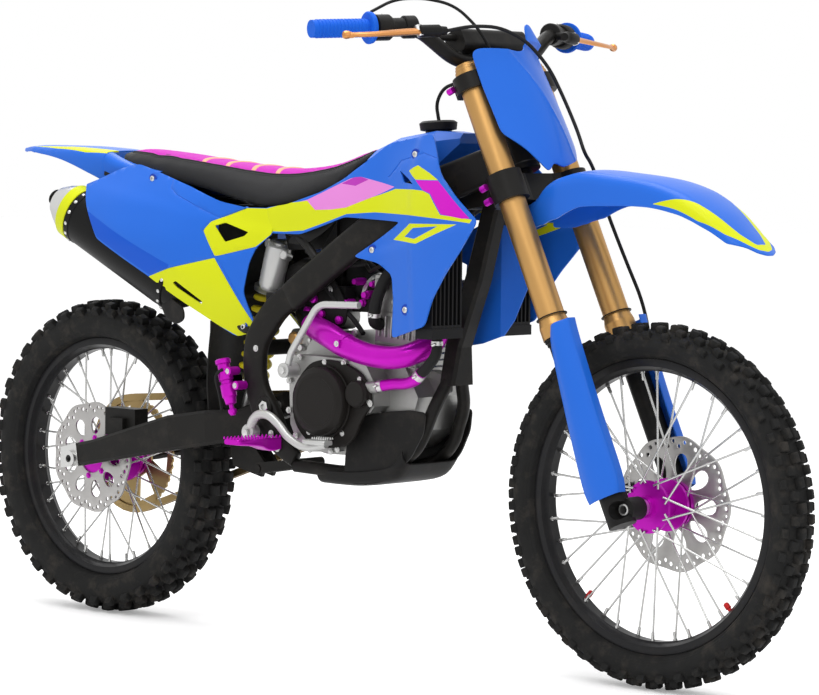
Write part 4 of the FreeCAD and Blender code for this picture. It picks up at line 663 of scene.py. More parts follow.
# Fender tables are (x, height, half width, drop of the sides).
beak = {
    "table": [(1180, 899.2, 58, 40), (1226, 920.6, 62, 60), (1252, 946, 66, 80), (1290, 962, 74, 84),
              (1350, 973, 76, 70), (1420, 968, 76, 62), (1493, 960, 75, 54), (1563, 942, 72, 46), (1632, 906, 66, 36),
              (1690, 862, 56, 26), (1740, 822, 46, 18)],
    "sides": [1180, 1226, 1252, 1290, 1350, 1420, 1493, 1563, 1632, 1680],
    "nose": [(1712, 44), (1730, 26), (1738, 10)],
    "bandInside": [(1610, -54), (1690, -30), (1716, -14), (1716, 14), (1690, 30), (1610, 54)],
    "bandNose": [(1676, 60), (1708, 38), (1726, 20), (1732, 0), (1726, -20), (1708, -38), (1676, -60)],
    "groove": [(1300, 44), (1500, 40), (1640, 30)]}
beakAt, beakReach = hood(beak["table"], 4, 20)
rightEdge = [(x, -beakReach(x)) for x in beak["sides"]] + [(x, -b) for x, b in beak["nose"]]
outline = rightEdge + [(x, -b) for x, b in reversed(rightEdge)]
inner, outer = beakReach(1520) - 8, beakReach(1620) - 7
tipBand = [(1520, -inner)] + beak["bandInside"] + [(1520, inner), (1620, outer)] + beak["bandNose"] + [(1620, -outer)]
made = skin("beak", outline, beakAt, blue, "steering", corner=6, pitch=9, decals=[(lime, tipBand, 5)], out=upwards,
            grooves=[[(x, side * b) for x, b in beak["groove"]] for side in (-1, 1)])
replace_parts(made, "front_fender")

tail = {
    "table": [(-262, 1003, 34, 10), (-190, 1008, 66, 16), (-80, 1007, 84, 30), (0, 1003, 88, 50), (60, 998, 88, 66),
              (130, 985, 84, 60)],
    "sides": [-236, -190, -80, 0, 60], "end": [(-254, 26), (-260, 8), (-260, -8), (-254, -26)],
    "band": [(-196, 56), (-100, 60), (0, 50), (70, 44), (70, 82), (0, 88), (-100, 78)]}
tailAt, tailReach = hood(tail["table"], 3, 16)
rightEdge = [(x, -tailReach(x)) for x in tail["sides"]]
outline = rightEdge + [(x, -b) for x, b in reversed(rightEdge)] + tail["end"]
bands = [[(x, side * b) for x, b in tail["band"]] for side in (-1, 1)]
made = skin("tailFender", outline, tailAt, blue, "chassis", corner=6, pitch=9, out=upwards,
            decals=[(lime, band, 5) for band in bands])
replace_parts(made, "rear_fender")

seatRail = {"table": [(56, 998, 88, 66), (100, 981, 87, 54), (150, 968, 86, 46), (215, 958, 84, 30)],
            "sides": [57, 100, 150, 215], "inner": 62}
railAt, railReach = hood(seatRail["table"], 3, 16)
for side, word in sides:
    outline = [(x, side * seatRail["inner"]) for x in seatRail["sides"]] + \
        [(x, side * railReach(x)) for x in reversed(seatRail["sides"])]
    skin("seatRail" + word, outline, railAt, blue, "chassis", corner=3, pitch=9, out=upwards)

# Its side rows are (share of the half width, share of the drop, fall).
underFender = {"table": [(61, 972, 86, 26), (130, 944, 88, 30), (330, 900.6, 86, 20)],
               "side": [(1, 1, 0), (0.97, 0.5, 0), (0.88, 0, 4), (0.6, 0, 1)]}
sections = []
for x, height, half, drop in underFender["table"]:
    edge = [(share * half, height - part * drop - fall) for share, part, fall in underFender["side"]]
    sections.append([bike(x, -y, z) for y, z in edge] + [bike(x, 0, height)]
                    + [bike(x, y, z) for y, z in reversed(edge)])
sheetLoft("underSeatFender", sections, blackPlastic, "chassis")

forkGuard = {  # rows: height along the leg, back edge, front edge, reach out
    "leg": 98, "rows": [(30, -12, 56, 9), (70, -14, 64, 10), (200, 2, 66, 10), (330, 22, 72, 10), (372, 38, 76, 8)]}
for side, word in sides:
    sections = []
    for w, back, front, out in forkGuard["rows"]:
        reach = 27 + out
        middle = back + 0.35 * (front - back)
        section = [(back, 30), ((back + middle) / 2, (30 + reach) / 2 + 1.5), (middle, reach),
                   ((middle + front - 10) / 2, reach - 2), (front - 10, reach - 8), (front - 1.5, 22), (front, 14),
                   (front, 0)]
        sections.append([fork(u, side * (forkGuard["leg"] + v), w) for u, v in section])
    made = sheetLoft("forkGuard" + word, sections, blue, "steering", flip=side > 0)
    if side < 0:
        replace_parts(made, "fork_guards")

# Seat
seat = {
    "stations": [(68, 996, 979, 40), (96, 997, 966, 54), (130, 997.5, 953, 62), (235, 989, 938, 68),
                 (344, 977, 920, 70), (480, 966, 890, 72), (570, 962, 886, 70), (673, 971, 917, 64),
                 (740, 988, 958, 57), (803, 1012, 1003, 48)],
    "shape": [(1.0, 0.0), (1.02, 0.3), (0.99, 0.6), (0.86, 0.84), (0.62, 0.95), (0.32, 0.99)],
    "cover": [(92, 34), (132, 44), (235, 50), (344, 52), (480, 54), (570, 53), (640, 50), (700, 46), (760, 42),
              (798, 36)],
    "voxel": 5.5, "pressure": 4, "frames": 14, "swell": 3.5, "fill": 0.9,
    "ribs": [314, 384, 460, 529], "ribBend": 10, "ribHeight": 2.6}
sections = []
for x, top, bottom, half in seat["stations"]:
    side = [(half * a, bottom + (top - bottom) * b) for a, b in seat["shape"]]
    sections.append([bike(x, y, z) for y, z in side] + [bike(x, 0, top)] + [bike(x, -y, z) for y, z in reversed(side)]
                    + [bike(x, -half * 0.5, bottom), bike(x, half * 0.5, bottom)])
form = Parts()
form.hull(refine(sections, 3))
foam = form.finish("seatFoam", [cover, coverViolet], "chassis")
shaper = foam.modifiers.new("even", "REMESH")
shaper.mode = "VOXEL"
shaper.voxel_size = seat["voxel"] / 1000
bake(foam)
before = [v.co.copy() for v in foam.data.vertices]
cloth = foam.modifiers.new("fill", "CLOTH")
cloth.settings.use_pressure = True
cloth.settings.uniform_pressure_force = seat["pressure"]
cloth.settings.effector_weights.gravity = 0
for frameNumber in range(1, seat["frames"] + 1):
    bpy.context.scene.frame_set(frameNumber)
bpy.context.view_layer.update()
blown = foam.evaluated_get(bpy.context.evaluated_depsgraph_get()).data
moved = [v.co.copy() for v in blown.vertices]
foam.modifiers.clear()
bpy.context.scene.frame_set(1)
for vertex, was, now in zip(foam.data.vertices, before, moved):
    step = now - was
    vertex.co = was + step * min(1, seat["swell"] / 1000 / max(step.length, 1e-9))
smoother = foam.modifiers.new("smooth", "SMOOTH")
smoother.factor = 0.5
smoother.iterations = 4
bake(foam)
finer = foam.modifiers.new("finer", "SUBSURF")
finer.levels = 1
bake(foam, 180)
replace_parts(foam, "seat")
tree = BVHTree.FromPolygons([v.co for v in foam.data.vertices], [tuple(p.vertices) for p in foam.data.polygons])


def seatTop(x, y, lift=0.0):
    hit, normal, _, _ = tree.ray_cast(bike(x, y, 1100), -upwards, 0.4)
    if hit is None:
        return bike(x, y, 960)
    return hit + (normal if normal.z > 0 else -normal) * lift / 1000


def coverHalf(x):
    return tableAt(seat["cover"], 1, x)


outline = [(x, -y) for x, y in seat["cover"]] + [(x, y) for x, y in reversed(seat["cover"])]
skin("seatGripper", outline, lambda x, y: seatTop(x, y, 0.7), coverViolet, "chassis", 0, corner=14, pitch=9)
ribs = Parts()
for x in seat["ribs"]:
    half = coverHalf(x) - 2
    rows = []
    for k in range(25):
        y = -half + 2 * half * k / 24
        bent = x + seat["ribBend"] * (abs(y) / half) ** 2
        lift = 1.0 if k in (0, 24) else seat["ribHeight"]
        rows.append([seatTop(bent - 6.5, y, 0.2), seatTop(bent - 5, y, lift * 0.8), seatTop(bent, y, lift),
                     seatTop(bent + 5, y, lift * 0.8), seatTop(bent + 6.5, y, 0.2), seatTop(bent, y)])
    ribs.hull(rows)
ribs.finish("seatRibs", [rib], "chassis", angle=50)
welts = Parts()
for side in (-1, 1):
    welts.tube([seatTop(x, side * coverHalf(x), 0.6) for x in range(96, 798, 9)], 1.3, 6)
    stitch = [seatTop(x, side * (coverHalf(x) + 4.5), 0.4) for x in range(100, 795, 3)]
    for a, b in zip(stitch[::2], stitch[1::2]):
        welts.tube([a, b], 0.7, 4)
welts.finish("seatSeams", [cover], "chassis")
print("seat:", len(foam.data.vertices))

# Wheels
tyres = {
    "front": {"axle": frontAxle, "body": "front_wheel", "rim": 276, "rimWidth": 48, "outer": 345, "half": 43,
              "depth": 13, "count": 46, "size": (20, 15), "valves": (-131, -46)},
    "rear": {"axle": rearAxle, "body": "rear_wheel", "rim": 254, "rimWidth": 62, "outer": 338, "half": 55,
             "depth": 16, "count": 40, "size": (24, 19), "valves": (18,)}}
# Knobs of one pitch: step along, place across, length, width, lower by, shorter by, tilt, twist.
knobs = [(0, 0.2, 1, 0.92, 0.2, 0, 0.03, 0.1), (0.5, 0.53, 0.92, 0.95, 3.5, 1.5, 0.3, -0.12),
         (0, 0.86, 0.86, 0.8, 12, 3, 0.72, 0)]
spokes = {"count": 36, "stagger": 6, "nipple": [(-2, 4.2), (3, 4.2), (3.5, 3.2), (15, 3.1), (17, 2.4)],
          "valve": [(-2, 4), (9, 4), (9, 5.8), (19, 5.4), (21, 3)]}


def lug(made, facts, angle, across, size, radius, height, tilt, skew):
    rows = []
    for up, k in ((-6, 1.06), (height - 2.2, 0.94), (height, 0.78)):
        row = []
        for sx, sy in ((-1, -1), (1, -1), (1, 1), (-1, 1)):
            a, b = sx * size[0] / 2 * k, sy * size[1] / 2 * k
            a, b = a * math.cos(skew) - b * math.sin(skew), a * math.sin(skew) + b * math.cos(skew)
            r = radius + up * math.cos(tilt) - b * math.sin(tilt)
            y = across + up * math.sin(tilt) + b * math.cos(tilt)
            row.append(wheelPoint(facts["axle"], r, angle + a / radius, y))
        rows.append(row)
    made.hull(rows)


for word, facts in tyres.items():
    axle, half, rimR, crown = facts["axle"], facts["half"], facts["rim"], facts["outer"] - facts["depth"]
    rimHalf = facts["rimWidth"] / 2
    bead = rimHalf - 4.4
    wall = [(-11, bead), (2, bead), (3, bead + 4), (7, half - 12), (9, half - 9), (11, half - 8.4), (12.5, half - 7),
            (15, half - 4.6), (16.5, half - 4.4), (17.5, half - 3.4), (24, half - 1), (32, half)]
    wall = [(rimR + r, y) for r, y in wall] + [(crown - 20, half - 2), (crown - 12, half * 0.88),
                                               (crown - 5, half * 0.68), (crown - 1, half * 0.4)]
    profile = [(r, -y) for r, y in wall] + [(crown, 0)] + [(r, y) for r, y in reversed(wall)]
    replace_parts(ring(word + "Casing", axle, profile, rubber, facts["body"], 45), word + "_tyre")
    blocks = Parts()
    step = 2 * math.pi / facts["count"]
    long, wide = facts["size"]
    for index in range(facts["count"]):
        for side in (-1, 1):
            for along, across, length, width, lower, shorter, tilt, skew in knobs:
                angle = (index + along) * step - math.pi / 2
                lug(blocks, facts, angle, side * across * half, (long * length, wide * width), crown - lower,
                    facts["depth"] - shorter, side * tilt, side * skew)
    blocks.finish(word + "Lugs", [rubber], facts["body"], bevel=0.7, angle=30)
    well = [(0, 0), (1.6, -0.6), (1.6, -3), (-2, -4), (-12, -4.4)]
    back = [(-6, 0.2), (-13, -1), (-17, -0.28 * rimHalf), (-20, -0.5 * rimHalf), (-22, -0.56 * rimHalf)]
    section = [(r, -rimHalf - y) for r, y in well] + [(r, rimHalf + y) for r, y in reversed(well)] + \
        [(r, rimHalf + y) for r, y in back] + [(r, -rimHalf - y) for r, y in reversed(back)]
    section = [(rimR + r, y) for r, y in section]
    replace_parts(ring(word + "RimHoop", axle, section, rimBlack, facts["body"], 35), word + "_rim")
    nipples = Parts()
    places = [(2 * math.pi * k / spokes["count"], spokes["stagger"] * (-1 if k % 2 else 1), "nipple", 8, 0)
              for k in range(spokes["count"])]
    for angle, across, form, count, pick in places + [(math.radians(a), 0, "valve", 12, 1) for a in facts["valves"]]:
        inward = wheelPoint(axle, 0, angle, 0) - wheelPoint(axle, 1, angle, 0)
        nipples.turned(wheelPoint(axle, rimR - 22, angle, across), inward, spokes[form], count, pick)
    nipples.finish(word + "Nipples", [spokeSteel, red], facts["body"])

# Frame
frameShape = {  # rows: place, lean in degrees, height and width
    "spar": [(1108, 24, 986, 34, 70, 28), (1056, 46, 962, 34, 76, 27), (950, 76, 916, 34, 75, 27),
             (810, 97, 829, 34, 64, 27), (700, 100, 756, 34, 62, 27), (628, 101.5, 706, 35, 61, 27)],
    "casting": [(650, 101, 722, 35, 54, 22), (600, 103, 690, 39, 56, 24), (566, 104, 655, 52, 58, 25),
                (541, 105, 618, 68, 57, 24.5), (533, 105, 585, 82, 56, 24), (534, 105, 545, 94, 55, 24),
                (544, 104.5, 510, 102, 58, 24), (566, 103, 470, 110, 68, 24), (600, 100, 412, 118, 52, 24),
                (622, 97, 392, 134, 42, 22), (640, 94, 378, 150, 34, 20)],
    "shockLug": [(590, 692), (618, 712), (526, 816), (486, 814), (486, 790), (560, 692)],
    "gusset": [(1070, 985), (1095, 955), (1080, 900), (1030, 890)],
    "headTube": [(0, 33), (12, 33), (14, 30), (130, 30), (132, 33), (144, 33)],
    "pivot": (573, 483), "pivotBoss": [(0, 21), (3.5, 20.5), (4.5, 18.5), (4.5, 13.2), (1, 13)],
    "pivotNut": [(0, 12.5), (5, 12.5), (6.2, 11.2), (6.2, 6.5), (2, 6)], "bolts": [(590, 430), (545, 600), (608, 400)]}
pivotX, pivotZ = frameShape["pivot"]
frameForm, frameBolts = Parts(), Parts()
for side in (-1, 1):
    for run, corner in (("spar", 10), ("casting", 9)):
        rows = []
        for x, y, z, lean, tall, wide in frameShape[run]:
            up = Vector((-math.sin(math.radians(lean)), 0, math.cos(math.radians(lean))))
            rows.append(boxRing(bike(x, side * y, z), leftwards, up, wide, tall, corner, 4))
        frameForm.hull(refine(rows, 4))
    frameForm.hull([[bike(x, side * y, z) for x, z in frameShape["shockLug"]] for y in (24.6, 33.6)])
    frameForm.turned(bike(pivotX, side * 117.5, pivotZ), (0, side, 0), frameShape["pivotBoss"], 28)
    frameBolts.turned(bike(pivotX, side * 118, pivotZ), (0, side, 0), frameShape["pivotNut"], 6)
    for x, z in frameShape["bolts"]:
        frameBolts.bolt(bike(x, side * 116.5, z), (0, side, 0), 4.5, 4)
frameForm.turned(fork(0, 0, 704), fork(0, 0, 848) - fork(0, 0, 704), frameShape["headTube"], 40)
frameForm.turned(bike(536, -96, 600), leftwards, [(0, 16), (192, 16)], 24)
frameForm.block(bike(570, 0, 702), (40, 188, 24))
frameForm.hull([[bike(x, y, z) for x, z in frameShape["gusset"]] for y in (-33, 33)])
made = frameForm.finish("frameSpars", [paint], "chassis", bevel=1.4, angle=32)
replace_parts(made, "main_frame")
frameBolts.finish("frameBolts", [bright], "chassis", angle=30)

skidPlate = {
    "wing": [(764, 343), (790, 338), (845, 344), (890, 358), (936, 404), (962, 450), (967, 492), (930, 495),
             (880, 490), (826, 480), (791, 467), (772, 420)],
    "plan": [(690, 93), (790, 86), (900, 80), (1000, 66)], "groove": [(790, 440), (850, 462), (940, 470)],
    "half": [(84, 26), (80, 10), (66, 1), (30, 0)],
    "run": [(690, 337), (740, 336.5), (790, 338), (850, 346), (895, 358), (920, 388)], "thickness": 4}
plan, thickness = skidPlate["plan"], skidPlate["thickness"]
wingFace = bowed([(320, [(x, y - 14) for x, y in plan]), (375, plan), (510, plan)])
for side, word in sides:
    skin("skidWing" + word, skidPlate["wing"], onSide(wingFace, side), blackPlastic, "chassis", thickness, corner=10,
         pitch=10, grooves=[skidPlate["groove"]])
section = [(-y, rise) for y, rise in skidPlate["half"]] + skidPlate["half"][::-1]
sections = [[bike(x, y, z + rise) for y, rise in section] for x, z in skidPlate["run"]]
tray = sheetLoft("skidTray", sections, blackPlastic, "chassis", thickness, flip=True)
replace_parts(tray, "skid_plate")

# Engine
clutch = {
    "outline": [(672, 553), (700, 580), (741, 588), (790, 584), (836, 566), (864, 530), (862, 500), (838, 472),
                (822, 436), (796, 416), (755, 410), (700, 416), (668, 440), (652, 470), (650, 520)],
    "middle": (752, 500), "layers": [(-112.2, 1), (-117.5, 1), (-119.5, 0.985)],
    "coverAt": (741, 504), "cover": [(-6, 73.5), (6, 73.5), (6.8, 72), (6.8, 69.5), (5, 69), (19, 69), (22.5, 67.2),
                                     (27.5, 58.5), (28.5, 56.5), (28.5, 50), (28, 49.5), (28, 0)],
    "waterAt": (834, 524), "water": [(-4, 27), (10, 27), (12, 25.5), (15.5, 24.5), (17, 22), (17, 0)],
    "bolts": [(741, 579), (790, 583), (836, 552), (862, 506), (775, 410), (757, 404), (700, 404), (660, 430),
              (640, 480), (640, 540), (668, 588)],
    "boltRings": [("coverAt", 78, 5, 20, 4), ("waterAt", 29, 3, 90, 3.6)]}  # radius, count, first angle, bolt size
engineTrim = Parts()
engineTrim.hull(plateRings(clutch["outline"], clutch["middle"], clutch["layers"]), 1)
for key, y, count in (("cover", -119.5, 72), ("water", -119, 48)):
    x, z = clutch[key + "At"]
    engineTrim.turned(bike(x, y, z), rightwards, clutch[key], count, 1)
for x, z in clutch["bolts"]:
    engineTrim.bolt(bike(x, -118, z), rightwards, 4.3, 4.2)
for key, radius, count, first, size in clutch["boltRings"]:
    for k in range(count):
        a = math.radians(first + 360 * k / count)
        x, z = clutch[key]
        engineTrim.bolt(bike(x + radius * math.cos(a), -118.5, z + radius * math.sin(a)), rightwards, size, 4)
made = engineTrim.finish("clutchSide", [bright, clutchBlack], "chassis", angle=28)
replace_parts(made, "clutch_cover")

# The first box, the cam cover, is black (pick 1): partly the cover's own black, partly painted shade for the dark gap
# between the frame spars and the head.
head = {  # boxes: from x, to x, half width, from z, to z, corner, finish, narrower at the top
    "at": (870, 560), "lean": 4,
    "boxes": [(818, 930, 60, 749, 794, 12, 1, 6), (812, 941, 69, 726, 749, 8, 2, 0), (808, 935, 66, 676, 688, 8, 2, 0)]
             + [(811, 931, 63, low, low + 4, 12, 2, 0) for low in (580, 593, 606, 619)],
    "topBolts": [(826, -54), (922, -54), (826, 54), (922, 54), (874, -57)],
    "sideBolts": [(826, -66.5, 700), (866, -66.5, 706), (916, -66.5, 700), (842, -69, 735), (900, -69, 738)],
    "lead": [(890, -50, 790), (888, -66, 800), (850, -84, 780), (800, -70, 760), (740, -40, 790)]}
leant = Matrix.Rotation(math.radians(head["lean"]), 3, "Y")


def onHead(x, y, z):
    p = leant @ Vector((x - head["at"][0], y, z - head["at"][1]))
    return bike(head["at"][0] + p.x, p.y, head["at"][1] + p.z)


top = Parts()
for near, far, half, low, high, corner, pick, narrower in head["boxes"]:
    rows = []
    for z, k in ((low, 0), (high - 3, 0), (high, 3 + narrower)):
        centre = onHead((near + far) / 2, 0, z)
        rows.append(boxRing(centre, leant @ forwards, leftwards, far - near - 2 * k, 2 * (half - k), corner))
    top.hull(rows, pick)
for x in range(826, 923, 16):
    top.tube([onHead(x, -60.5, 634), onHead(x, -60.5, 676)], 3.2, 8, 2)
for x, y in head["topBolts"]:
    top.bolt(onHead(x, y, 793), leant @ upwards, 4.5, 5)
for place in head["sideBolts"]:
    top.bolt(onHead(*place), rightwards, 4.2, 5)
top.tube([onHead(*place) for place in head["lead"]], 4, 8, 1)
top.finish("cylinderTop", [bright, clutchBlack, cast], "chassis", angle=28)

throttle = {
    "inlet": [(668, 0, 830), (700, 0, 782), (736, 0, 744), (770, 0, 722)], "inletRadius": 33, "fold": 2.5,
    "aim": (42, 0, -16),
    "barrel": [((764, 0, 724), [(0, 37.5), (9, 37.5)], 1), ((772, 0, 721), [(0, 33), (34, 31)], 2),
               ((806, 0, 708), [(0, 36), (9, 36)], 1)],
    "plugs": [(788, -44, 716, 9, 16), (772, -38, 700, 8, 12), (760, -40, 742, 8, 18), (800, -40, 738, 7, 12),
              (744, -46, 700, 7, 20)],
    "boxes": [((768, -26, 694), (54, 30, 26), 2), ((716, -40, 716), (40, 34, 30), 0)],
    "leads": [[(640, -66, 770), (680, -70, 742), (720, -64, 700), (760, -60, 668), (800, -72, 640)],
              [(650, -80, 800), (700, -84, 790), (760, -80, 776), (800, -64, 780)],
              [(700, 40, 780), (760, 60, 760), (820, 74, 700), (850, 70, 640)]]}
intake = Parts()
line = route(throttle["inlet"], 5)
intake.tube(line, [throttle["inletRadius"] + (0 if k % 3 else throttle["fold"]) for k in range(len(line))], 28)
for place, profile, pick in throttle["barrel"]:
    intake.turned(bike(*place), throttle["aim"], profile, 28, pick)
for x, y, z, r, h in throttle["plugs"]:
    intake.turned(bike(x, y, z), rightwards, [(-20, r), (h / 2, r), (h / 1.5, r / 1.3), (h, r / 1.4)], 12, 3)
for place, size, pick in throttle["boxes"]:
    intake.block(bike(*place), size, pick)
for places in throttle["leads"]:
    intake.tube(route(places), 5, 8)
intake.finish("throttleBody", [softRubber, bright, clutchBlack, violet], "chassis", angle=35)

coolant = {
    "runs": [(11.4, 0, [(870, -106.4, 539.6), (904, -98.3, 546.2), (938, -98, 549), (966, -100, 558),
                        (982, -102, 572)]),
             (10.6, 1, [(978, -102, 568), (1002, -103, 588), (1019, -101, 612), (1021, -101, 641)]),
             (12.3, 1, [(838, -64, 660), (838, -82, 668), (848, -86, 710), (866, -80, 752), (884, -72, 776)])],
    "clips": [((873, -105.6, 540.3), (882, -103.5, 542), 12.6), ((972, -101, 563), (981, -102, 571), 12.6),
              ((1021, -101, 628), (1021, -101, 636), 12), ((839.5, -83.5, 676), (841, -84.5, 684), 13.4)]}
hoses = Parts()
for radius, pick, places in coolant["runs"]:
    hoses.tube(route(places), radius, 20, pick)
for near, far, radius in coolant["clips"]:
    start, along = bike(*near), bike(*far) - bike(*near)
    hoses.turned(start, along, [(0, radius), (along.length * 1000, radius)], 24, 2)
    hoses.bolt(start + rightwards * (radius + 2) / 1000, (1, 0, 0.4), 3, 9, 2, washer=False)
made = hoses.finish("hoses", [violet, softRubber, bright], "chassis", angle=40)
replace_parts(made, "coolant_hoses")

header = {
    "places": [(949.5, -34, 692), (974, -40, 674), (978, -62, 632), (950, -98, 607), (912, -113, 599),
               (860, -118, 602), (800, -118, 615), (740, -110, 636), (676, -84, 650), (624, -50, 666), (576, -6, 688),
               (522, 46, 704), (456, 62, 712), (398, 46, 712), (358, -18, 706), (334, -78, 704), (310, -109, 716)],
    "radius": 18, "widerBy": 4.5, "widerOver": 12, "bulge": 2.5, "bulgeAt": 41, "bulgeOver": 7,
    "narrowerBy": 3.5, "narrowerOver": 20, "joint": 50,
    "clampAt": (801, -118, 616), "clamp": [(0, 22.5), (1, 24.5), (13, 24.5), (14, 22.5)]}
line, joint = route(header["places"]), header["joint"]
swell = []
for k in range(len(line)):
    wider = header["widerBy"] * min(1, k / header["widerOver"])
    bulge = header["bulge"] * math.exp(-((k - header["bulgeAt"]) / header["bulgeOver"]) ** 2)
    narrower = header["narrowerBy"] * min(1, max(0, (k - joint) / header["narrowerOver"]))
    swell.append(header["radius"] + wider + bulge - narrower)
pipe = Parts()
pipe.tube(line[:joint], swell[:joint], 28)
pipe.tube(line[joint - 1:], swell[joint - 1:], 28, 1)
made = pipe.finish("headerPipe", [violet, canBlack], "chassis", angle=50)
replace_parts(made, "exhaust_header")
pipeTrim = Parts()
pipeTrim.turned(bike(*header["clampAt"]), (-40, 3, 13), header["clamp"], 32)
pipeTrim.block(bike(795, -141, 622), (14, 9, 16))
pipeTrim.bolt(bike(795, -145, 622), rightwards, 4, 4, 1)
pipeTrim.turned(bike(948, -34, 692), (-19, 0, 2), [(0, 30), (10, 30)], 24, 1)
pipeTrim.finish("pipeClamp", [violet, bright], "chassis", angle=35)

# Silencer: stations are (distance from its front, half width, half height).
silencer = {
    "front": (314, 715), "rear": (12, 858), "across": -109, "sides": 56,
    "can": [(-34, 26, 28), (-31, 28, 30), (-14, 38, 44), (0, 43, 51), (18, 45.4, 56), (40, 46, 58), (300, 46, 58),
            (333.5, 46, 58)],
    "bands": [[(6, 45.6, 54.5), (7, 47, 56.5), (17, 47.6, 58), (18, 46, 57)],
              [(318, 46.6, 58.6), (319, 47.2, 59.2), (332, 47.2, 59.2), (333, 46.6, 58.6)]],
    "rivets": (12, 325.5), "rivet": [(-2, 4.2), (0.8, 4.2), (2, 3), (2.6, 1.2)],
    "cap": [([(334.4, 47, 59), (335.4, 48, 60), (358, 48, 60), (360, 47, 59), (360.4, 45, 57)], 1),
            ([(358, 45, 57), (366, 43.6, 55), (384, 38, 46.5), (398, 32, 37), (404, 29.5, 33.5), (405, 28, 32),
              (403, 25, 28), (396, 22, 22)], 0),
            ([(380, 18.6, 18.6), (421, 18.6, 18.6), (423.5, 17.8, 17.8), (423.5, 16.4, 16.4), (392, 16.4, 16.4)], 2)],
    "stay": [(286, 700), (300, 704), (362, 676), (366, 652), (340, 640), (306, 652), (290, 676)]}
front = Vector(silencer["front"])
along = (Vector(silencer["rear"]) - front).normalized()
canLift = Vector((along[1], -along[0]))


def canRing(s, wide, tall):
    ring = []
    for up, aside in circle(0, 0, 1, silencer["sides"]):
        p = front + along * s + canLift * tall * up
        ring.append(bike(p[0], silencer["across"] + wide * aside, p[1]))
    return ring


can, cap = Parts(), Parts()
for stations in [silencer["can"]] + silencer["bands"]:
    can.hull([canRing(*station) for station in stations])
for s in silencer["rivets"]:
    for spot in canRing(s, 47, 59)[::4]:
        can.turned(spot, spot - canRing(s, 0, 0)[0], silencer["rivet"], 10, 1)
made = can.finish("silencerCan", [canBlack, bright], "chassis", angle=30)
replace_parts(made, "muffler")
for stations, pick in silencer["cap"]:
    cap.hull([canRing(*station) for station in stations], pick)
# The outlet tube (pick 2) is painted near black as the shade inside the pipe.
made = cap.finish("silencerCap", [bright, lime, outletShadeBlack], "chassis", angle=30)
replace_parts(made, "muffler_cap")
skin("silencerStay", silencer["stay"], lambda x, z: bike(x, -138 - 8 * (x - 286) / 80, z), blackPlastic, "chassis", 4,
     corner=12, pitch=8)

# Controls, in the steering's own frame
lever = {
    "gripEnd": (-52, 408, 1020), "gripInner": (18, 200, 998), "droop": 0.6, "clampAt": 130, "perchAt": 192,
    "clamp": [(0, 22), (2, 25), (30, 25), (34, 22)], "perch": [(0, 20), (2, 22), (24, 22), (26, 20)],
    "bridge": [(0, 18), (50, 18)], "arm": [(0, 10), (40, 9), (52, 8)],
    "pivot": [(0, 9), (2, 12), (44, 12), (48, 9), (60, 8)], "pin": [(0, 7), (22, 7), (23, 5)],
    "clampBolts": (10, 24), "bolt": [(0, 3.4), (4, 3.4), (5, 2.2)],
    "reach": 176, "sweep": 26, "ball": [(0, 5), (2, 7.4), (8, 8), (13, 6.5), (15, 3)],
    "gripRib": [(0, 16.6), (0.8, 18), (4, 18), (4.8, 16.6)], "ribCount": 14, "ribPitch": 7.6,
    "flange": [(0, 19), (1, 29), (3, 31), (6, 31), (8, 29), (9, 19)]}


def steered(made, start, axis, profile, count=24, pick=0):
    made.turned(fork(*start), fork(*(start + axis)) - fork(*start), profile, count, pick)


levers, gripRibs = Parts(), Parts()
for side in (-1, 1):
    end, inner = (Vector((u, side * v, w)) for u, v, w in (lever["gripEnd"], lever["gripInner"]))
    inward = (inner - end).normalized()
    forward = Vector((math.cos(lever["droop"]), 0, -math.sin(lever["droop"])))
    base, mount = end + inward * lever["clampAt"], end + inward * lever["perchAt"]
    pivot = mount + forward * 50 - inward * 6
    steered(levers, base, inward, lever["clamp"])
    steered(levers, mount, inward, lever["perch"])
    steered(levers, base + inward * 20, inward, lever["bridge"])
    steered(levers, mount + inward * 13, forward, lever["arm"])
    steered(levers, pivot - inward * 2, inward, lever["pivot"])
    steered(levers, pivot - upwards * 11, upwards, lever["pin"], 16, 2)
    for k in lever["clampBolts"]:
        steered(levers, base + inward * k + upwards * 24, upwards, lever["bolt"], 10, 2)
    tip = pivot - inward * lever["reach"] + forward * lever["sweep"]
    start = pivot + inward * 4
    blade = []
    for k in range(25):
        t = k / 24
        p = start + (tip - start) * t + forward * (5 * math.sin(math.pi * t) - 3 * math.sin(2 * math.pi * t))
        tall, deep = (7.2 - 2.4 * t, 9.0 - 4.0 * t) if t <= 0.93 else (7, 7)
        blade.append([fork(*(p + upwards * tall * rise + forward * deep * ahead)) for ahead, rise in circle(0, 0, 1)])
    levers.hull(blade, 1)
    steered(levers, tip + inward * 6, -inward, lever["ball"], 18, 1)
    for k in range(lever["ribCount"]):
        steered(gripRibs, end + inward * (6 + lever["ribPitch"] * k), inward, lever["gripRib"], 28)
    steered(gripRibs, end + inward * 114, inward, lever["flange"], 32)
made = levers.finish("leverSets", [blackPlastic, orange, bright], "steering", angle=38)
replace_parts(made, "control_levers")
gripRibs.finish("gripRibs", [gripBlue], "steering", angle=35)

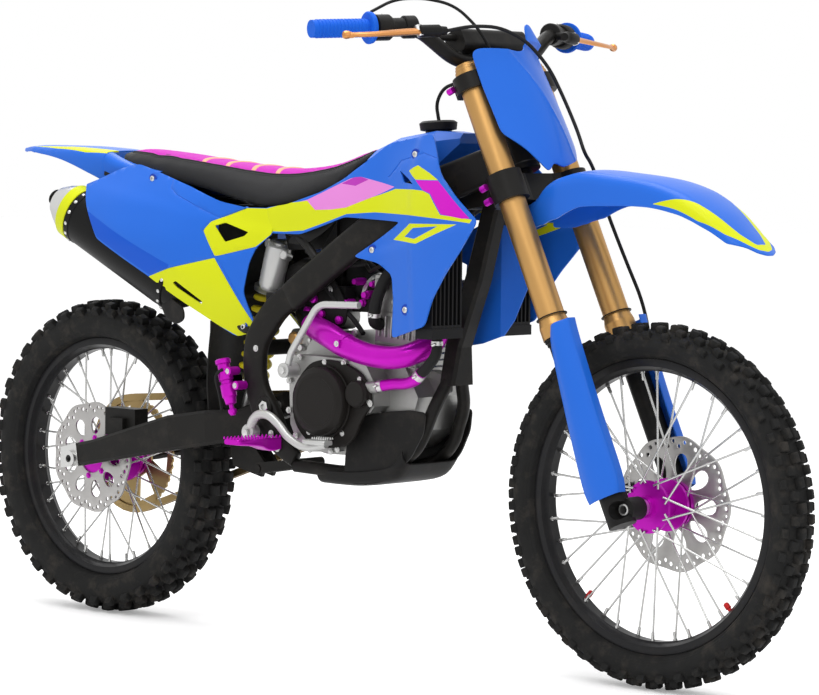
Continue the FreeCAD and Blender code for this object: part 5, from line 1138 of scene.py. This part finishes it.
forkBands = {  # bands: height along the leg, radius, thickness, finish
    "leg": 98, "bands": [(347, 28, 7, 0), (340, 25.5, 8, 0), (393, 30.6, 1.5, 0), (906, 24, 7, 1), (913, 13, 5, 1)],
    "clampBolts": (646, 674, 878), "bolt": [(-4, 6.8), (9, 6.8), (10.5, 5), (10.5, 3), (4, 3)]}
forkTrim = Parts()
stem = fork(0, 0, 1000) - fork(0, 0, 0)
for side in (-1, 1):
    for w, radius, tall, pick in forkBands["bands"]:
        band = [(0, radius), (tall * 0.8, radius), (tall, radius - 1.4)]
        forkTrim.turned(fork(24, side * forkBands["leg"], w), stem, band, 40, pick)
    for w in forkBands["clampBolts"]:
        spot = fork(-8, side * (forkBands["leg"] + 26), w)
        forkTrim.turned(spot, fork(-9, side * (forkBands["leg"] + 26), w) - spot, forkBands["bolt"], 14, 2)
forkTrim.finish("forkTrim", [softRubber, gold, violet], "steering", angle=35)

peg = {  # sections: distance out, place ahead, width, height above ground, thickness
    "sections": [(113.2, 602, 28, 411, 25), (132, 599, 28, 409.5, 27), (148, 594, 36, 411.5, 24),
                 (166, 593, 45, 415, 18), (200, 593, 47, 417, 14), (226, 593, 45, 418, 12), (234, 593, 38, 418.5, 10)],
    "pin": [(0, 7.5), (2, 9), (24, 9), (26, 7.5)],
    "top": [(588, 113.2), (616, 113.2), (612, 150), (616, 234), (570, 234), (576, 150)], "middle": (594, 170),
    "tooth": [(0, 3), (4.5, 1.2)], "toothPitch": 9}
pegs, pegTrim = Parts(), Parts()
for side in (-1, 1):
    rows = [boxRing(bike(x, side * y, z), forwards, upwards, wide, tall, 4) for y, x, wide, z, tall in peg["sections"]]
    pegs.hull(refine(rows, 3))
    pegs.turned(bike(602, side * 121, 398), upwards, peg["pin"], 20, 1)
    pegs.tube([bike(576 + 1.2 * k, side * (126 + 4 * math.sin(k)), 404 + 0.5 * k) for k in range(12)], 1.6, 6, 1)
    for p in divided(peg["top"], peg["toothPitch"])[2:]:
        q = p + (Vector(peg["middle"]) - p).normalized() * 3
        pegTrim.turned(bike(q[0], side * q[1], 423.8), upwards, peg["tooth"], 5)
made = pegs.finish("pegBodies", [violet, bright], "chassis", angle=40)
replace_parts(made, "footpegs")
pegTrim.finish("pegTeeth", [violet], "chassis", angle=25)
pedalGrip = {
    "rows": (-166, -160, -152, -146), "columns": range(752, 793, 6), "tooth": [(0, 2.2), (4, 1)],
    "pins": [((545, -142, 430), [(0, 7.5), (5, 7.5), (6, 5)]), ((650, -146, 562), [(0, 8), (5, 8), (6, 6)])]}
pedalTrim = Parts()
for x in pedalGrip["columns"]:
    for y in pedalGrip["rows"]:
        pedalTrim.turned(bike(x, y, 431.8), upwards, pedalGrip["tooth"], 5)
for place, profile in pedalGrip["pins"]:
    pedalTrim.turned(bike(*place), rightwards, profile, 6)
pedalTrim.finish("pedalTeeth", [bright], "chassis", angle=25)

# Rear frame and shock
rearRails = {
    "rails": [([(690, 94, 786), (600, 72, 838), (430, 66, 872), (160, 60, 905)], 9),
              ([(556, 100, 646), (520, 99, 634), (468, 96, 650), (396, 86, 726), (320, 74, 806), (230, 60, 896)], 8.5)],
    "crossings": [(165, 60, 905), (430, 66, 872)], "tray": ((300, 0, 885), (240, 116, 5))}
rearFrame = Parts()
for side in (-1, 1):
    for places, radius in rearRails["rails"]:
        rearFrame.tube(route([(x, side * y, z) for x, y, z in places]), radius, 18)
    rearFrame.bolt(bike(560, side * 108, 646), (0, side, 0), 5, 5, 1)
for x, y, z in rearRails["crossings"]:
    rearFrame.tube([bike(x, -y, z), bike(x, y, z)], 8, 16)
rearFrame.block(bike(*rearRails["tray"][0]), rearRails["tray"][1])
made = rearFrame.finish("rearFrame", [paint, bright], "chassis", angle=40)
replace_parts(made, "subframe")

shock = {
    "bottom": (390, 0, 414), "top": (500, 0, 800),
    # forms along the shock: distance from its foot, finish, profile
    "onShaft": [(10, 0, [(0, 9), (300, 9)]), (111.6, 0, [(0, 30), (3, 36), (7.6, 36)]), (0, 0, [(0, 11), (112, 11)]),
                (306.4, 0, [(0, 36), (5, 37), (12, 37), (14, 30), (26, 28), (30, 24.5), (80, 24.5), (84, 22)]),
                (322, 1, [(0, 29), (4, 31), (8, 29)])],
    "eyes": [((500, -24.3, 800), [(0, 18), (2, 20), (46.6, 20), (48.6, 18)], 32),
             ((390, -12, 414), [(0, 14), (24, 14)], 28)],
    # reservoir: place, direction, sides, profile
    "reservoir": [((532, -60, 727), (21, 0, 79), 40, [(-12, 17), (-8, 22.5), (0, 25.5), (4, 26), (76, 26),
                                                      (82, 24.5), (84.5, 19)]),
                  ((553, -60, 806), (21, 0, 79), 20, [(-4, 12), (7, 12), (9, 9)]),
                  ((572, -60, 788), (0.5, -1, 0.2), 16, [(-20, 9), (14, 9), (16, 6.5)]),
                  ((540, -60, 808), (-0.3, -1, 0.4), 16, [(-10, 9), (18, 9), (20, 6.5)])],
    "neck": [(538, -58), (506, -14)], "threads": (318, 320, 322, 324, 326)}
foot = bike(*shock["bottom"])
lean = (bike(*shock["top"]) - foot).normalized()
shockBody = Parts()
for s, pick, profile in shock["onShaft"]:
    shockBody.turned(foot + lean * s / 1000, lean, profile, 40, pick)
for place, profile, count in shock["eyes"]:
    shockBody.turned(bike(*place), leftwards, profile, count)
for place, aim, count, profile in shock["reservoir"]:
    shockBody.turned(bike(*place), aim, profile, count, 2)
shockBody.hull([boxRing(bike(x, y, 784), forwards, upwards, 34, 26, 6) for x, y in shock["neck"]], 2)
for s in shock["threads"]:
    shockBody.turned(foot + lean * s / 1000, lean, [(0, 28.2), (1, 28.8)], 30)
made = shockBody.finish("shockBody", [bright, gold, silver], "chassis", angle=35)
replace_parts(made, "shock_absorber")

middleForms = {  # between frame and engine; duct and box rows are (x, z, width, height)
    "duct": [(618, 652, 100, 50), (638, 706, 108, 74), (670, 766, 116, 98), (716, 812, 124, 122)],
    "box": [(556, 722, 96, 90), (600, 724, 104, 120), (664, 724, 104, 116), (716, 722, 90, 84)],
    "gears": [(632, 556), (636, 606), (664, 634), (716, 642), (776, 634), (812, 606), (812, 560)],
    "gearsMiddle": (722, 596),
    "gearLayers": [(-70, 0.93), (-64, 1), (58, 1), (64, 0.93)],
    "drive": [(-62, 54, 100), (-56, 64, 110), (52, 64, 110), (58, 54, 100)],
    "caps": [(606, 622, 13, 4), (606, 584, 10, 3), (628, 604, 8, 3), (604, 552, 12, 4), (632, 566, 9, 3)],
    "plate": [(606, 664), (618, 742), (664, 772), (716, 742), (752, 690), (742, 652), (690, 640)],
    "studs": [(644, 679), (682, 674), (731, 664), (661, 704)],
    "bolts": [(702, 724), (640, 738), (770, 640), (650, 620), (742, 622)],
    "guard": [(372, 456), (366, 520), (372, 600), (386, 690), (396, 780), (398, 860)],
    "cover": [(599, 815), (649, 812), (700, 838), (734, 861), (752, 879), (695, 880), (615, 834)]}
backing = Parts()
for key, corner in (("duct", 16), ("box", 20)):
    backing.hull([boxRing(bike(x, 0, z), leftwards, upwards, wide, tall, corner)
                  for x, z, wide, tall in middleForms[key]])
backing.hull(plateRings(middleForms["gears"], middleForms["gearsMiddle"], middleForms["gearLayers"]), 1)
backing.hull([boxRing(bike(617, y, 586), forwards, upwards, wide, tall, 12)
              for y, wide, tall in middleForms["drive"]], 1)
for x, z, r, pick in middleForms["caps"]:
    backing.turned(bike(x, -60, z), rightwards, [(0, r), (12, r), (15, r / 1.3), (15, 3)], 24, pick)
backing.turned(bike(690, -20, 668), rightwards, [(-30, 26), (40, 26), (45, 22)], 32, 1)
backing.hull(plateRings(middleForms["plate"], (680, 700), [(-66, 1), (-62, 1)], 14))
for x, z in middleForms["studs"]:
    backing.turned(bike(x, -64, z), rightwards, [(0, 8.5), (9, 8.5), (11, 6)], 14, 2)
for x, z in middleForms["bolts"]:
    backing.bolt(bike(x, -66, z), rightwards, 5, 5, 3)
backing.finish("intakeBox", [blackPlastic, cast, violet, bright, gold], "chassis", angle=40)
sections = [[bike(x + 10 * abs(y) / 80, y, z) for y in (-86, -78, -50, 0, 50, 78, 86)] for x, z in middleForms["guard"]]
sheetLoft("innerGuard", sections, blackPlastic, "chassis", 4)
for side, word in sides:
    surface = onSide(lambda x, z: 84 + 0.02 * (x - 600), side)
    skin("airboxCover" + word, middleForms["cover"], surface, blackPlastic, "chassis", corner=10, pitch=9)

brake = {
    "arm": [(545, -128, 430), (556, -136, 452), (578, -141, 468), (608, -142, 468), (640, -144, 450), (668, -146, 428),
            (716, -150, 412), (776, -152, 421)],
    "armRadius": 10, "thinner": 2.6, "step": [(727, 22), (740, 34), (778, 34), (788, 24)],
    "hub": [(0, 17), (18, 17), (20, 15.5)]}
pedal = Parts()
line = route(brake["arm"], 5)
pedal.tube(line, [brake["armRadius"] - brake["thinner"] * k / len(line) for k in range(len(line))], 18)
pedal.hull([boxRing(bike(x, -158, 425), leftwards, upwards, wide, 9, 3) for x, wide in brake["step"]])
pedal.turned(bike(545, -120, 430), rightwards, brake["hub"], 28)
made = pedal.finish("brakeLever", [silver], "chassis", angle=40)
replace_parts(made, "brake_pedal")

brakePump = {
    "foot": (502, -138, 468), "aim": (-30, 0, 104),
    "body": [(-6, 5), (0, 9), (6, 9), (8, 5), (16, 5), (18, 11), (30, 13), (33, 15.5), (58, 15.5), (60, 12.5),
             (66, 12.5), (68, 15.5), (84, 15.5), (87, 13), (100, 13), (102, 16), (110, 16), (112, 13)],
    "bracket": [(500, 520, 40), (498, 536, 34)], "lugs": [(516, 524), (494, 552)],
    "hose": [(484, -150, 556), (470, -156, 540), (466, -140, 500), (450, -118, 470)]}
pump = Parts()
pump.turned(bike(*brakePump["foot"]), brakePump["aim"], brakePump["body"], 30)
pump.hull([boxRing(bike(x, -126, z), Vector((1, 0, 0.1)), upwards, wide, 16, 4) for x, z, wide in brakePump["bracket"]])
for x, z in brakePump["lugs"]:
    pump.turned(bike(x, -118, z), rightwards, [(0, 9), (28, 9), (30, 6)], 16)
    pump.bolt(bike(x, -147, z), rightwards, 4, 3, 1)
pump.tube(route(brakePump["hose"]), 3.2, 8, 2)
made = pump.finish("brakePump", [violet, bright, softRubber], "chassis", angle=35)
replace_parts(made, "rear_master_cylinder")

# Discs
discs = {
    "front": {"axle": frontAxle, "across": 56, "radius": 130, "carrier": 46, "body": "front_wheel"},
    "rear": {"axle": rearAxle, "across": -60, "radius": 120, "carrier": 48, "body": "rear_wheel"}}
# Holes of one of the nine fields: in from the edge, angle, radius.
discHoles = [(11, 0.0, 4.2), (20, 0.11, 4.2), (11, 0.23, 4.2), (20, 0.34, 4.2), (15, 0.46, 4.6), (9, 0.58, 3.2)]
fieldAngles = [2 * math.pi * k / 9 for k in range(9)]
for word, facts in discs.items():
    (axleX, axleZ), radius, carrier = facts["axle"], facts["radius"], facts["carrier"]
    out = 1 if facts["across"] > 0 else -1
    faceY = facts["across"] + out * 2
    edge = []
    for k in range(180):
        a = 2 * math.pi * k / 180
        wave = radius - 2.5 + 2.5 * math.cos(9 * a)
        edge.append((wave * math.cos(a), wave * math.sin(a)))
    holes = [circle(0, 0, carrier - 13, 48)]
    mid, band = (radius - 30 + carrier) / 2, (radius - 34 - carrier) / 2
    for a in fieldAngles:
        window = []
        for across, along in circle(0, 0, 1, 16):
            r, turn = mid + band * along, a + 0.2 * across
            window.append((r * math.cos(turn), r * math.sin(turn)))
        holes.append(window)
        for inset, shift, size in discHoles:
            r, turn = radius - inset, a + shift
            holes.append(circle(r * math.cos(turn), r * math.sin(turn), size, 10))
    points, faces = filled([edge] + holes, 9)
    places = [bike(axleX + p[0], faceY, axleZ + p[1]) for p in points]
    rotor = newPiece(word + "Rotor", places, faces, [steel], facts["body"])
    facing(rotor, leftwards * out)
    thicken(rotor, 4, 0.4, 35)
    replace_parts(rotor, word + "_disc")
    studs = Parts()
    for x, z in circle(axleX, axleZ, carrier - 6, 6, 0.3):
        studs.bolt(bike(x, faceY, z), (0, out, 0), 4.5, 4)
    studs.finish(word + "DiscBolts", [violet], facts["body"], angle=30)

# Camera, light and floor
studio = {
    "azimuth": 0.7291229, "elevation": 0.0528180, "roll": 0.0117618, "eye": (5323.5, -5001.4, 1006.6),
    "focal": 3366.16, "centre": (408.338, 327.661), "picture": (819, 695), "sensor": 36,  # in pixels, sensor in mm
    "floor": 30, "floorGlow": 0.26, "sky": 0.78,
    "lamps": {  # place, size, power, aim
        "keyLight": ((1.6, -3.4, 3.6), 2.6, 70, (0, 0, -0.3)), "fillLight": ((4.0, -0.6, 1.4), 2.2, 10, (0.3, 0, -0.3)),
        "rimLight": ((-2.6, 1.8, 2.8), 2.2, 30, (0, 0, 0)), "topLight": ((0, 0, 3.8), 3.0, 110, (0, 0, 0))}}
azimuth, elevation, roll = studio["azimuth"], studio["elevation"], studio["roll"]
back = Vector((math.sin(azimuth) * math.cos(elevation), -math.cos(azimuth) * math.cos(elevation), math.sin(elevation)))
level = upwards.cross(back).normalized()
rise = back.cross(level)
right, up = level * math.cos(roll) + rise * math.sin(roll), rise * math.cos(roll) - level * math.sin(roll)
wide, tall = studio["picture"]
eye = bpy.data.cameras.new("camera")
eye.sensor_width = studio["sensor"]
eye.lens = studio["focal"] / wide * studio["sensor"]
eye.shift_x = (wide / 2 - studio["centre"][0]) / wide
eye.shift_y = (studio["centre"][1] - tall / 2) / wide
camera = bpy.data.objects.new("camera", eye)
camera.matrix_world = Matrix.Translation(bike(*studio["eye"])) @ Matrix((right, up, back)).transposed().to_4x4()
bpy.context.scene.collection.objects.link(camera)
bpy.context.scene.camera = camera
bpy.context.scene.view_settings.view_transform = "Standard"

ground = bpy.data.meshes.new("floor")
reach, low = studio["floor"], -riderZ / 1000 - 0.0005  # just under the tyres
corners = [(-reach, -reach, low), (reach, -reach, low), (reach, reach, low), (-reach, reach, low)]
ground.from_pydata(corners, [], [(0, 1, 2, 3)])
floor = bpy.data.objects.new("floor", ground)
ground.materials.append(material("floorPale", (0.97, 0.97, 0.97), 0.9, vary=0.005, patch=0.5))
tree = ground.materials[0].node_tree
glow = setInputs(tree.nodes.new("ShaderNodeMath"), {1: studio["floorGlow"]})
glow.operation = "MULTIPLY"
surface = setInputs(tree.nodes["Principled BSDF"], {"Emission Color": (1, 1, 1, 1)})
tree.links.new(tree.nodes.new("ShaderNodeLightPath").outputs["Is Camera Ray"], glow.inputs[0])
tree.links.new(glow.outputs[0], surface.inputs["Emission Strength"])
bpy.context.scene.collection.objects.link(floor)

sky = bpy.data.worlds.new("studio")  # white wherever it is seen, dimmer where it lights the bike
sky.use_nodes = True
tree = sky.node_tree
backdrop = setInputs(tree.nodes["Background"], {"Color": (1, 1, 1, 1)})
rays = tree.nodes.new("ShaderNodeLightPath")
seen = rays.outputs["Is Camera Ray"]
for kind in ("Is Glossy Ray", "Is Transmission Ray"):
    either = tree.nodes.new("ShaderNodeMath")
    either.operation = "MAXIMUM"
    tree.links.new(seen, either.inputs[0])
    tree.links.new(rays.outputs[kind], either.inputs[1])
    seen = either.outputs[0]
strength = setInputs(tree.nodes.new("ShaderNodeMapRange"), {"To Min": studio["sky"]})
tree.links.new(seen, strength.inputs["Value"])
tree.links.new(strength.outputs[0], backdrop.inputs["Strength"])
bpy.context.scene.world = sky
for name, (place, size, power, aim) in studio["lamps"].items():
    lamp = bpy.data.lights.new(name, "AREA")
    lamp.energy, lamp.size = power, size
    holder = bpy.data.objects.new(name, lamp)
    holder.location = place
    holder.rotation_euler = (Vector(aim) - Vector(place)).to_track_quat("-Z", "Y").to_euler()
    bpy.context.scene.collection.objects.link(holder)
